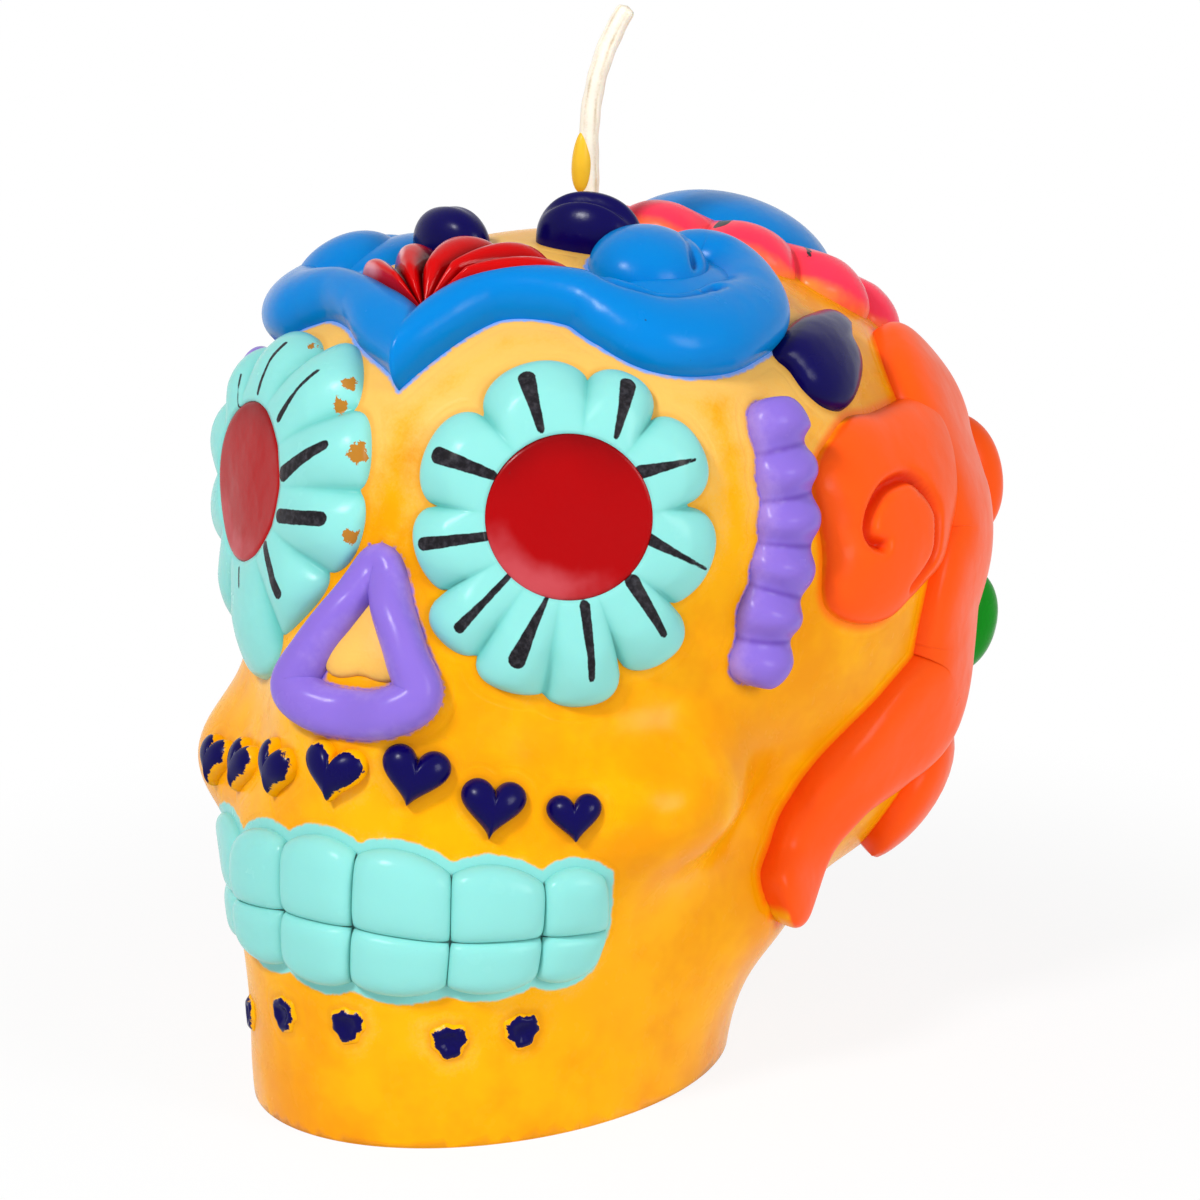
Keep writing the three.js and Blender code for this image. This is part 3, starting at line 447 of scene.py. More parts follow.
# %% Sums of node outputs
class Shade:
    """One output of a material's node, which can be used in sums."""

    def __init__(self, tree, socket):
        self.tree = tree
        self.socket = socket

    def node(self, kind, settings, inputs):
        made = self.tree.nodes.new(kind)
        for name, value in settings.items():
            setattr(made, name, value)
        for key, value in inputs.items():
            if isinstance(value, Shade):
                self.tree.links.new(value.socket, made.inputs[key])
            else:
                made.inputs[key].default_value = value
        return made

    def out(self, kind, settings, inputs, output=0):
        return Shade(self.tree, self.node(kind, settings, inputs).outputs[output])

    def maths(self, operation, *values):
        return self.out("ShaderNodeMath", {"operation": operation}, dict(enumerate(values)))

    def __add__(self, other):
        return self.maths("ADD", self, other)

    def __radd__(self, other):
        return self.maths("ADD", other, self)

    def __sub__(self, other):
        return self.maths("SUBTRACT", self, other)

    def __rsub__(self, other):
        return self.maths("SUBTRACT", other, self)

    def __mul__(self, other):
        return self.maths("MULTIPLY", self, other)

    def __rmul__(self, other):
        return self.maths("MULTIPLY", other, self)

    def low_of(self, other):
        return self.maths("MINIMUM", self, other)

    def high_of(self, other):
        return self.maths("MAXIMUM", self, other)

    def step(self, low, high):
        """0 below low, 1 above high and a soft turn between them. low may be the larger one."""
        settings = {"interpolation_type": "SMOOTHSTEP"}
        limits = {"Value": self, "From Min": min(low, high), "From Max": max(low, high)}
        risen = self.out("ShaderNodeMapRange", settings, limits)
        return 1 - risen if low > high else risen

    def noise(self, size_mm, detail=2.0, roughness=0.5):
        """Cloudy noise on these coordinates, with lumps of about a size."""
        inputs = {"Vector": self, "Scale": 1 / (size_mm * MM), "Detail": detail, "Roughness": roughness}
        return self.out("ShaderNodeTexNoise", {}, inputs)

    def mix(self, colour_a, colour_b):
        """From one colour to the other by this share."""
        settings = {"data_type": "RGBA"}
        return self.out("ShaderNodeMix", settings, {0: self, 6: colour_a, 7: colour_b}, 2)


def srgb(red, green, blue):
    """A screen colour, 0 to 255, as the light values that a shader wants."""
    def light(value):
        share = value / 255
        return share / 12.92 if share <= 0.04045 else ((share + 0.055) / 1.055) ** 2.4

    return (light(red), light(green), light(blue), 1)


# %% [markdown]
# ## Wax and paint
# Wax is a little translucent: light spreads inside it, so its shaded sides stay warm. It has a satin shine
# with uneven patches where it was handled. The paint is wax too. Its edge at the foot of each ornament is
# ragged, and a few chips show the yellow wax under it. All patterns read the object's own coordinates, so
# they run on from one piece to the next.

# %% Colours
# most of the darker colours below are painted shade, which creases, grooves and the ornaments' feet take; deep
# navy and deep green only vary the tone
yellow = srgb(250, 176, 0)
rich_yellow = srgb(236, 150, 0)
bloom_yellow = srgb(238, 188, 100)
pale_yellow = srgb(240, 190, 50)
chip_brown = srgb(176, 118, 40)
foot_shade_yellow = srgb(206, 124, 8)
pale_purple = srgb(176, 150, 220)
pale_blue = srgb(120, 160, 226)
highlight_red = srgb(196, 84, 92)
highlight_pink = srgb(240, 170, 180)
bright_red = srgb(196, 2, 4)
fade_orange = srgb(255, 140, 50)
worn_black = srgb(58, 56, 62)
blue = srgb(0, 124, 202)
shaded_blue = srgb(0, 70, 158)
mint = srgb(136, 212, 206)
shaded_mint = srgb(92, 184, 176)
purple = srgb(134, 106, 204)
shaded_purple = srgb(92, 54, 160)
navy = srgb(8, 2, 76)
deep_navy = srgb(5, 0, 38)
red = srgb(164, 0, 4)
shaded_red = srgb(92, 0, 4)
orange = srgb(252, 88, 16)
shaded_orange = srgb(222, 48, 6)
pink = srgb(252, 54, 84)
shaded_pink = srgb(240, 60, 70)
green = srgb(8, 138, 22)
deep_green = srgb(0, 92, 8)
black = srgb(24, 22, 26)


# %% Wax shader
wax_inputs = {
    "IOR": 1.44,
    "Specular IOR Level": 0.12,
    "Subsurface Weight": 0.12,
    "Subsurface Scale": 1.6 * MM,
    "Subsurface Radius": (1.0, 0.45, 0.2),
}


def start_material(name, shader_inputs):
    """A new material with its shader, and the object's coordinates."""
    material = bpy.data.materials.new(name)
    material.use_nodes = True
    tree = material.node_tree
    shader = tree.nodes["Principled BSDF"]
    for key, value in shader_inputs.items():
        shader.inputs[key].default_value = value
    coordinates = tree.nodes.new("ShaderNodeTexCoord")
    return material, shader, Shade(tree, coordinates.outputs["Object"])


def mark(place, name):
    """A number that a piece carries at each point."""
    return place.out("ShaderNodeAttribute", {"attribute_name": name}, {}, "Fac")


def feed(shader, colour, roughness, height, strength, depth):
    """Gives a shader its colour, its roughness and the bumps of a height."""
    inputs = {"Strength": strength, "Distance": depth, "Height": height}
    bump = height.out("ShaderNodeBump", {}, inputs)
    for name, value in (("Base Color", colour), ("Roughness", roughness), ("Normal", bump)):
        height.tree.links.new(value.socket, shader.inputs[name])


def bare_wax(place, bloom_where):
    """The yellow wax: yolk yellow with a pale grainy bloom, as strong as bloom_where says."""
    broad = place.noise(22, 2, 0.5)
    patches = place.noise(6, 3, 0.6)
    grains = place.noise(0.35, 2, 0.7)
    base = (patches * 0.4 + broad * 0.6).step(0.34, 0.62).mix(rich_yellow, yellow)
    bloom = (broad * 0.35 + patches * 0.3 + grains * 0.14 + bloom_where * 0.4).step(0.6, 0.86)
    return (bloom * 0.8).mix(base, bloom_yellow), bloom


def painted_wax(name, top, deep, wear=0.0, edge=-1.0, gloss=0.22, chips=False, strokes=False,
                fade=None, haze=None, bloom=None):
    """Paint over the yellow wax, with painted shade in its creases. wear is how ragged its foot is, in
    millimetres.
    """
    material, shader, place = start_material(name, wax_inputs)
    foot = mark(place, "foot")
    cloud = place.noise(5, 3, 0.55)
    fine = place.noise(1.1, 4, 0.65)
    # painted shade: creases and grooves take the darker colour, as far as the piece's mark for them says
    paint = (cloud * 0.25 + mark(place, "hollow") * 0.75).step(0.14, 0.9).mix(top, deep)
    if fade:
        faded = mark(place, "fade") + (cloud - 0.5) * 0.6 + (fine - 0.5) * 0.15
        paint = faded.step(0.2, 0.8).mix(paint, fade)
    if bloom:
        veil = (cloud * 0.5 + fine * 0.3 + (2.5 - foot).high_of(0) * 0.14).step(0.58, 0.9)
        paint = (veil * 0.45).mix(paint, bloom)
    # painted highlight: a pale patch of paint where the piece's mark says light catches it
    if haze:
        highlight_share = (mark(place, "haze") * 0.8 + (cloud - 0.5) * 0.9).step(0.3, 1.0)
        paint = (highlight_share * 0.7).mix(paint, haze)
    cover = (foot + (fine - 0.5) * wear).step(edge - 0.05, edge + 0.05)
    colour = cover.mix(yellow, paint)
    if chips:
        chip = mark(place, "chip")
        chipped = (chip + (place.noise(1.3, 4, 0.7) - 0.5) * 1.5).step(0.62, 0.66)
        colour = (chipped * chip.step(0.02, 0.1)).mix(colour, chip_brown)
    if strokes:
        ink = (mark(place, "ink") + (fine - 0.5) * 0.2).step(1.95, 2.05)
        dry_ink = place.noise(0.6, 2, 0.6).step(0.35, 0.85).mix(black, worn_black)
        colour = ink.mix(colour, dry_ink)
    specks = place.noise(0.9, 2, 0.6).step(0.8, 0.81)
    colour = (specks * 0.7).mix(colour, black)
    roughness = place.noise(3.4, 3, 0.6) * 0.2 + (gloss - 0.08)
    wavy = place.noise(4.5, 2, 0.5) * 1.0 + fine * 0.1 - specks * 0.3
    feed(shader, colour, roughness, wavy, 0.35, 0.5 * MM)
    return material


# for each paint: its slot, the name of its material, its own colour, the colour that painted shade in its
# creases takes, and what is special about it
paint_table = {
    "blue": ("blue_wax", "blue painted wax", blue, shaded_blue, {"chips": True}),
    "mint": ("mint_wax", "mint painted wax", mint, shaded_mint, {"chips": True, "strokes": True}),
    "teeth": ("mint_wax", "mint painted teeth", mint, shaded_mint, {}),
    "purple": ("purple_wax", "purple painted wax", purple, shaded_purple, {"bloom": pale_purple}),
    "navy": ("navy_wax", "navy painted wax", navy, deep_navy, {"chips": True}),
    "ragged navy": ("navy_wax", "ragged navy painted wax", navy, deep_navy, {"wear": 1.2, "edge": 0.35}),
    "red": ("red_wax", "red painted wax", red, shaded_red, {"gloss": 0.2, "haze": highlight_red}),
    "glossy red": ("red_wax", "glossy red wax", bright_red, shaded_red, {"gloss": 0.12, "haze": highlight_pink}),
    "orange": ("orange_wax", "orange painted wax", orange, shaded_orange, {"gloss": 0.3, "fade": yellow}),
    "pink": ("pink_wax", "pink painted wax", pink, shaded_pink, {"strokes": True, "fade": fade_orange}),
    "green": ("green_wax", "green painted wax", green, deep_green, {}),
    "wax run": ("yellow_wax", "wax run", pale_yellow, bloom_yellow, {}),
}
for paint_name, (slot_name, name, top, deep, special) in paint_table.items():
    paints[paint_name] = (painted_wax(name, top, deep, **special), slot_name)
print("paints:", len(paints))

# %% [markdown]
# ## The eye flowers
# Each eye is a dished red disc in a ring of ten puffy petals. The petals fall to a sharp groove between them.
# They are unequal, as hand-carved moulds are, and the two eyes aren't alike. A black brush stroke lies on
# each petal. We find the strokes in the photograph and keep each point's depth in them as a mark.

# %% Petals
eye_shares = {"left": (0.251, -0.141, 0.745), "right": (-0.251, -0.141, 0.745)}
eye_disc_reach = 8.1 * MM
petal_start = eye_disc_reach - 0.6 * MM
petal_lift = 2.4 * MM
stroke_height = 1.6 * MM
# for each groove: its direction in degrees, its reach and the reach of the petal after it, in millimetres
eye_petals = {
    "left": [
        (-150, 13.2, 16.6), (-125, 15.2, 17.4), (-99, 16.8, 18.2), (-72, 14.4, 16.9), (-42, 13.0, 14.4),
        (3, 10.5, 14.1), (47, 11.6, 14.2), (79, 12.6, 14.3), (128, 11.6, 14.4), (174, 12.2, 14.5),
    ],
    "right": [
        (-175, 12.5, 15.5), (-138, 14.5, 17.5), (-106, 16.5, 19.1), (-54, 16.2, 16.6), (-23, 15.2, 16.9),
        (8, 15.8, 16.9), (37, 15.3, 16.5), (73, 13.6, 14.4), (116, 12.8, 14.4), (147, 12.3, 14.5),
    ],
}
# for each stroke: its outer and inner end in the photograph, and its half widths there in millimetres
eye_strokes = {
    "left": [
        ((527, 381), (541, 430), 0.8, 0.35), ((627, 387), (616, 437), 0.75, 0.25),
        ((693, 460), (641, 472), 0.15, 0.6), ((706, 569), (645, 537), 0.15, 0.6),
        ((662, 633), (633, 582), 0.35, 0.7), ((591, 679), (585, 606), 0.3, 0.5),
        ((516, 660), (547, 599), 0.8, 0.2), ((459, 628), (509, 576), 0.5, 0.25),
        ((424, 544), (489, 536), 0.65, 0.4), ((440, 456), (492, 475), 0.75, 0.45),
    ],
    "right": [
        ((244, 376), (235, 420), 0.15, 0.15), ((288, 346), (259, 393), 0.25, 0.25),
        ((322, 373), (280, 419), 0.2, 0.4), ((328, 446), (283, 474), 0.45, 0.75),
        ((323, 519), (280, 516), 0.7, 0.7), ((280, 594), (264, 545), 0.55, 0.45),
        ((241, 587), (238, 568), 0.2, 0.2),
    ],
}
chip_spots = [(314, 341), (352, 383), (339, 404), (357, 452), (350, 540)]


def petal_places(angle, petals):
    """For each angle: the distance from its petal's middle (1 at a groove), the petal's reach, the groove's."""
    table = np.array(petals, float)
    starts = np.radians(table[:, 0] - table[0, 0])
    turn = (angle - math.radians(table[0, 0])) % (2 * math.pi)
    here = np.searchsorted(starts, turn, side="right") - 1
    after = (here + 1) % len(table)
    way = (turn - starts[here]) / ((starts[after] - starts[here]) % (2 * math.pi))
    groove = table[here, 1] * (1 - way) + table[after, 1] * way
    return np.abs(2 * way - 1), table[here, 2] * MM, groove * MM


def petal_ring(middle, petals, inner_reach, lift, sides=300, extra=None):
    """A ring of puffy petals, with a groove wherever two of them meet."""
    def outline(angle):
        aside, reach, groove = petal_places(angle, petals)
        return groove + (reach - groove) * puff(aside, 2.6)

    def height(angle, out):
        aside, _, _ = petal_places(angle, petals)
        cut = (0.06 + 0.82 * out) * aside**2.1
        inner_part = 0.62 + 0.38 * clamp(out / 0.5) ** 0.7
        outer_part = puff((out - 0.42) / 0.58, 2.4)
        return lift * inner_part * outer_part * (1 - cut)

    def marks(angle, out, reach):
        aside, _, _ = petal_places(angle, petals)
        # painted shade in the grooves between the petals
        found = {"hollow": clamp(aside) ** 6 * (0.3 + 0.7 * out)}
        if extra:
            found.update(extra(angle, out, reach))
        return found

    def inner(angle):
        return inner_reach + 0 * angle

    return patch(middle, outline, height, sides, 34, inner=inner, extra=marks)


def line_distance(points, ends):
    """For each point: the distance from the nearest of some straight lines, where along it, and which it is."""
    nearest = np.full(len(points), np.inf)
    where = np.zeros(len(points))
    which = np.zeros(len(points), int)
    for i, (start, end) in enumerate(ends):
        run = end - start
        along = clamp(((points - start) @ run) / (run @ run))
        gap = np.linalg.norm(points - start - np.outer(along, run), axis=1)
        where = np.where(gap < nearest, along, where)
        which = np.where(gap < nearest, i, which)
        nearest = np.minimum(nearest, gap)
    return nearest, where, which


def set_stroke_marks(mesh, strokes, height):
    """Marks how deep each point is in the brush strokes: 2 at a stroke's edge, in millimetres from there."""
    points = onto_skull(points_of(mesh))[0]
    ends = [onto_skull(seen(stroke[:2], height))[0] for stroke in strokes]
    gap, where, which = line_distance(points, ends)
    halves = np.array([stroke[2:] for stroke in strokes])[which]
    half = halves[:, 0] * (1 - where) + halves[:, 1] * where
    set_marks(mesh, {"ink": np.clip(2 + half - gap / MM, 0, 4)})


def set_chip_marks(mesh, spots, reach, height=1.2 * MM):
    """Marks how near each point lies to some chips: 1 in a chip's middle."""
    points = points_of(mesh)
    chips = seen(spots, height)
    gap = np.min([np.linalg.norm(points - chip, axis=1) for chip in chips], axis=0)
    set_marks(mesh, {"chip": clamp(1 - gap / reach)})


eye_middles = {side: frame_at(share_place(*shares)) for side, shares in eye_shares.items()}
for side, middle in eye_middles.items():
    eye_mesh = petal_ring(middle, eye_petals[side], petal_start, petal_lift)
    set_stroke_marks(eye_mesh, eye_strokes[side], stroke_height)
    if side == "right":
        set_chip_marks(eye_mesh, chip_spots, 2.2 * MM)
    finish_piece(eye_mesh, side + "_eye_flower", "mint", side + "_eye_petals")


# %% Red discs
def disc_height(angle, out):
    dish = 0.75 + 0.95 * out**2.6
    return MM * dish * puff((out - 0.86) / 0.14, 2)


def disc_outline(angle):
    return eye_disc_reach * (1 + 0.012 * np.sin(2 * angle + 1) + 0.004 * np.sin(5 * angle))


def disc_extra(angle, out, reach):
    """Painted shade darkens the dish under its upper rim, and a painted highlight lightens it along its lower
    one.
    """
    low = clamp(-np.sin(angle + 0.5)) * clamp((out - 0.35) / 0.4)
    return {"hollow": clamp(np.sin(angle)) * out**3 * 0.8, "haze": low}


for side, middle in eye_middles.items():
    disc_mesh = patch(middle, disc_outline, disc_height, 120, 30, extra=disc_extra)
    finish_piece(disc_mesh, side + "_eye_dish", "red", side + "_eye_disc", seated=False)

# %% [markdown]
# ## The nose
# The nose is a raised triangle with round corners, painted purple, and a small bare mound inside it.

# %% Nose
nose_rows = [
    (0.013, -0.219, 0.69, 4.0), (0.05, -0.24, 0.644, 4.1), (0.087, -0.255, 0.595, 4.2),
    (0.113, -0.265, 0.552, 4.8), (0.07, -0.28, 0.53, 4.8), (0.01, -0.29, 0.527, 4.8),
    (-0.049, -0.285, 0.531, 4.8), (-0.091, -0.275, 0.55, 4.8), (-0.064, -0.265, 0.592, 4.2),
    (-0.024, -0.245, 0.642, 4.1),
]


def nose_height(way, out):
    return 3.1 * MM * (1 - 0.5 * np.cos(2 * math.pi * way) ** 8) * puff(out, 2.4)


nose_mesh = cord(wide_places(nose_rows), 150, 24, lambda way: 1 + 0 * way, nose_height, looped=True)
finish_piece(nose_mesh, "nose_ring", "purple", "nose_triangle")

# %% [markdown]
# ## Hearts, dots and teeth
# Small puffy hearts run over the lip and shallow dimples over the chin. The teeth are twelve soft blocks on
# one band: each seam is shared by two neighbours, so only the seams' places are written down. Their free
# edges are scalloped.

# %% Hearts
heart_shares = [
    [-0.31, -0.165, 0.4], [-0.226, -0.198, 0.41], [-0.117, -0.254, 0.435], [-0.004, -0.28, 0.451],
    [0.102, -0.26, 0.452], [0.189, -0.219, 0.411], [0.279, -0.173, 0.395],
]
heart_reach, heart_lift = 3.15 * MM, 1.9 * MM
heart_size_shares = [0.86, 0.95, 1, 1.04, 1.04, 1, 0.84]
heart_tilts = [0, -4, -6, -9, -14, -10, 2]
curve_turn = np.linspace(0, 2 * math.pi, 361)
heart_across = 16 * np.sin(curve_turn) ** 3 / 16
heart_waves = (13, -5, -2, -1)
heart_up = sum(wave * np.cos(i * curve_turn) for i, wave in enumerate(heart_waves, 1)) / 16 + 0.1
heart_angles = np.arctan2(heart_up, heart_across) % (2 * math.pi)
heart_order = np.argsort(heart_angles)
heart_reaches = np.hypot(heart_across, heart_up)[heart_order]
heart_angles = heart_angles[heart_order]


def heart_mesh(place_shares, size_share, tilt):
    def outline(angle):
        turned = (angle - math.radians(tilt)) % (2 * math.pi)
        return heart_reach * size_share * np.interp(turned, heart_angles, heart_reaches, period=2 * math.pi)

    return puffed(frame_at(share_place(*place_shares)), outline, heart_lift * size_share, 2.6, 72, 16)


for i, (shares, size_share, tilt) in enumerate(zip(heart_shares, heart_size_shares, heart_tilts), 1):
    heart = heart_mesh(shares, size_share, tilt)
    finish_piece(heart, f"heart_{i}", "ragged navy" if i < 5 else "navy", f"lip_heart_{i}")

# %% Chin dots
dot_shares = [
    [-0.204, -0.222, 0.109], [-0.097, -0.281, 0.142], [0.017, -0.295, 0.148], [0.149, -0.261, 0.134],
    [0.222, -0.211, 0.139],
]


def dot_outline(angle):
    return 1.9 * MM * (1 + 0.08 * np.sin(3 * angle) + 0.06 * np.sin(7 * angle + 2))


def dot_height(angle, out):
    return MM * (0.12 + 0.4 * bell((out - 0.62) / 0.25)) * puff(out, 5)


for i, shares in enumerate(dot_shares, 1):
    dot_mesh = patch(frame_at(share_place(*shares)), dot_outline, dot_height, 40, 12)
    finish_piece(dot_mesh, f"dimple_{i}", "ragged navy", f"chin_dot_{i}")

# %% Teeth
seam_shares = [
    ([-0.318, -0.115, 0.322], [-0.315, -0.115, 0.25], [-0.3, -0.125, 0.2]),
    ([-0.207, -0.228, 0.331], [-0.198, -0.24, 0.263], [-0.184, -0.247, 0.215]),
    ([-0.087, -0.276, 0.357], [-0.08, -0.288, 0.276], [-0.079, -0.288, 0.21]),
    ([0.032, -0.285, 0.36], [0.033, -0.295, 0.272], [0.029, -0.295, 0.202]),
    ([0.154, -0.256, 0.34], [0.156, -0.264, 0.259], [0.149, -0.265, 0.202]),
    ([0.25, -0.199, 0.323], [0.245, -0.202, 0.257], [0.236, -0.205, 0.204]),
    ([0.309, -0.152, 0.321], [0.295, -0.139, 0.253], [0.28, -0.149, 0.207]),
]
seam_places = np.array(seam_shares) * skull_size
tooth_lift = 1.95 * MM
tooth_lift_shares = [0.65, 0.95, 1, 1, 1, 0.95]


def tooth_mesh(low_left, low_right, high_left, high_right, lift, low_arch, high_arch):
    """A soft block between four corners. Its lower and upper edges arch outwards between the seams."""
    mesh, u, v = grid(30, 26)
    a = np.sin((u - 0.5) * math.pi)
    b = np.sin((v - 0.5) * math.pi)
    wide = 1 - 0.01 * MM / np.linalg.norm(low_right - low_left)
    s = ((a * np.sqrt(1 - 0.06 * b**6) * wide + 1) / 2)[:, None]
    t = ((b * np.sqrt(1 - 0.06 * a**6) + 1) / 2)[:, None]
    near = (low_left * (1 - t) + high_left * t) * (1 - s) + (low_right * (1 - t) + high_right * t) * s
    bow = 1 - a**2
    near[:, 2] += bow * (high_arch * clamp(b) - low_arch * clamp(-b))
    free_side = b if high_arch > low_arch else -b
    out = np.maximum(np.abs(a), np.abs(b))
    across = np.where(free_side > 0, puff(np.abs(b), 3.4), 0.45 + 0.55 * puff(np.abs(b), 3))
    height = lift * (0.4 + 0.6 * puff(np.abs(a), 3)) * across
    points, under = cast(near, height, np.where(free_side > 0.98, out, 0))
    move_points(mesh, points)
    set_marks(mesh, {
        "foot": 3 * (1 - np.maximum(free_side, np.abs(a))),
        # painted shade in the seams between the teeth
        "hollow": 0.5 * np.abs(a) ** 14 + 0.3 * np.abs(b) ** 12,
    })
    close_mesh(mesh, under)
    return mesh


for row, name, low_arch, high_arch in ((0, "upper", 0, 1.2 * MM), (1, "lower", 0.9 * MM, 0)):
    for i in range(6):
        corners = [seam_places[i + aside][row + down] for down, aside in ((1, 0), (1, 1), (0, 0), (0, 1))]
        tooth = tooth_mesh(*corners, tooth_lift * tooth_lift_shares[i], low_arch, high_arch)
        finish_piece(tooth, f"{name}_block_{i + 1}", "teeth", f"{name}_tooth_{i + 1}")
print("pieces so far:", len(piece_names))

# %% [markdown]
# ## The brow scroll and the fan
# A thick blue cord meets in a point over the nose and curls round a ball at both ends. Its first row lies on
# the skull's middle line and runs from the notch down to the point, so both halves meet in a sharp tip. The
# cord's places carry its width, because it swells a lot where it turns. A low blue field fills each curl, and
# a groove bounds the ball. The mould isn't even: the right ball lies further out. Red lobes spread from the
# notch like a fan.

# %% Brow scroll
brow_rows = {
    "left": [
        (0.03, -0.083, 0.947, 6.5), (0.056, -0.062, 0.962, 5.1), (0.091, -0.043, 0.968, 4.9),
        (0.172, -0.018, 0.963, 5.9), (0.224, -0.012, 0.949, 7.7), (0.275, 0.002, 0.931, 9.0),
        (0.311, 0.044, 0.925, 9.2), (0.319, 0.093, 0.929, 9.0), (0.315, 0.141, 0.932, 8.0),
        (0.29, 0.17, 0.945, 7.0), (0.24, 0.199, 0.965, 6.2), (0.195, 0.2, 0.98, 6.4),
        (0.16, 0.175, 0.992, 6.0),
    ],
    "right": [
        (-0.03, -0.1, 0.936, 7.2), (-0.061, -0.097, 0.938, 6.6), (-0.113, -0.073, 0.948, 5.2),
        (-0.173, -0.046, 0.95, 5.0), (-0.223, -0.03, 0.942, 6.4), (-0.265, -0.012, 0.93, 8.1),
        (-0.308, 0.028, 0.922, 9.0), (-0.326, 0.075, 0.923, 9.0), (-0.318, 0.12, 0.932, 7.9),
        (-0.284, 0.15, 0.95, 6.8), (-0.235, 0.165, 0.97, 5.4),
    ],
}
brow_point = share_place(0, -0.154, 0.88)
brow_notch = share_place(0, -0.093, 0.944)
brow_ball_shares = [(0.192, 0.1, 0.985), (-0.28, 0.077, 0.955)]
brow_field_shares = [(0.26, 0.1, 0.96), (-0.262, 0.1, 0.955)]
curl_grooves = [
    [(682, 240), (697, 259), (708, 285), (719, 283)],
    [(591, 265), (610, 281), (642, 290), (673, 292), (702, 287)],
]


def brow_height(way, out):
    fall = 0.12 * clamp((way - 0.75) / 0.25) + 0.5 * clamp((way - 0.88) / 0.12) ** 2
    return 4 * MM * (1 - fall) * puff(out, 2.2)


def brow_bend(side):
    """Turns the first rows of one side towards the line from the point to the notch."""
    def bend(near, way, aside):
        share = ((side * aside + 1) / 2)[:, None]
        first = brow_notch * share + brow_point * (1 - share)
        blend = clamp(1 - way / 0.08)[:, None] ** 1.5
        return near * (1 - blend) + first * blend

    return bend


def join_meshes(*meshes):
    """One mesh with all the forms of several."""
    whole = bmesh.new()
    for part in meshes:
        data = bpy.data.meshes.new("part")
        part.to_mesh(data)
        whole.from_mesh(data)
        part.free()
        bpy.data.meshes.remove(data)
    return whole


def carve(mesh, line, width, depth):
    """Sinks a groove along a line, but never through a form's foot, and gives each point's depth in it."""
    points = points_of(mesh)
    gap, _, _ = line_distance(points, list(zip(line[:-1], line[1:])))
    spots, outs = onto_skull(points)
    height = ((points - spots) * outs).sum(axis=1)
    sunk = np.minimum(depth * bell(gap / width), np.maximum(height - 0.3 * MM, 0))
    move_points(mesh, points - outs * sunk[:, None])
    return sunk


def ball_outline(angle):
    """The ball that a curl holds is a little longer one way."""
    return MM * (5.9 + 0.25 * np.cos(2 * (angle - 1.2)))


def on_top(*shares):
    """A middle on the crown or the forehead. Its upward direction points to the back of the head."""
    return frame_at(share_place(*shares), (0, 1, 0))


def brow_arm(side, rows):
    def width(way):
        return round_ends(np.maximum(way, 0.5), 0.05)

    return cord(wide_places(rows), 240, 30, width, brow_height, bend=brow_bend(side))


arms = [brow_arm(1, brow_rows["left"]), brow_arm(-1, brow_rows["right"])]
fields = [puffed(on_top(*shares), 7.8 * MM, 2.3 * MM, 3, 48, 14) for shares in brow_field_shares]
balls = [puffed(on_top(*shares), ball_outline, 4.5 * MM, 2.1, 72, 24) for shares in brow_ball_shares]
brow_mesh = join_meshes(*arms, *fields, *balls)
bmesh.ops.remove_doubles(brow_mesh, verts=brow_mesh.verts, dist=merge_gap)
groove_height = 3.4 * MM
groove_lines = [smooth_line(seen(spots, groove_height), 24) for spots in curl_grooves]
curl_sunk = [carve(brow_mesh, line, 0.55 * MM, 1.2 * MM) for line in groove_lines]
# painted shade in the curl grooves
set_marks(brow_mesh, {"hollow": np.maximum(*curl_sunk) / MM * 0.6})
set_chip_marks(brow_mesh, [(669, 221)], 1.3 * MM, 4 * MM)
finish_piece(brow_mesh, "brow_curls", "blue", "brow_scroll")

# %% Fan
fan_middle = on_top(0, -0.093, 0.945)
fan_edges = np.array([-66, -46, -21, 17, 41, 61])
fan_reaches = np.array([13.2, 13.0, 13.2, 14.4, 15.8]) * MM


def fan_mesh():
    """Lobes that spread from one tip, each as puffy as a finger, with sharp valleys between them."""
    mesh, u, v = grid(180, 36)
    turn = fan_edges[0] + (fan_edges[-1] - fan_edges[0]) * u
    lobe = np.clip(np.searchsorted(fan_edges, turn, side="right") - 1, 0, len(fan_reaches) - 1)
    way = (turn - fan_edges[lobe]) / (fan_edges[lobe + 1] - fan_edges[lobe])
    aside = np.abs(2 * way - 1)
    out = 0.05 + 0.95 * even_out(v)
    bend = 13 * (1 - out) * (0.3 + 0.7 * u)
    angle = np.radians(90 - turn + bend)
    reach = fan_reaches[lobe] * out * (0.92 + 0.08 * puff(aside, 2.4))
    rim_share = clamp((np.abs(2 * u - 1) - 0.86) / 0.14)
    body = puff(out, 4) * puff(rim_share, 2) * (0.4 + 0.6 * clamp(out / 0.3))
    slant = 1 - 0.35 * way
    height = 4.9 * MM * (1 - (0.3 + 0.2 * out) * aside**2.2) * body * (0.8 + 0.2 * slant)
    rim = np.maximum(v, np.abs(2 * u - 1))
    points, under = cast(flat_points(fan_middle, reach, angle), height, rim)
    move_points(mesh, points)
    set_marks(mesh, {
        "foot": 3 * (1 - rim),
        # painted shade in the valleys and on each lobe's side towards the candle's left
        "hollow": 1.1 * aside**4 * (1 - 0.4 * way) + 0.9 * (way > 0.62) * (way - 0.62) * 2,
        # a painted highlight on each lobe's other side
        "haze": bell((way - 0.3) / 0.16) * clamp((out - 0.35) / 0.2),
    })
    close_mesh(mesh, under)
    return mesh


finish_piece(fan_mesh(), "fan_of_lobes", "glossy red", "forehead_fan")

# %% [markdown]
# ## Leaves and beads
# The navy leaves are tall soft lumps with a crease. The beads down the temple are fused: the cord's width
# and height swell and shrink six times along it.

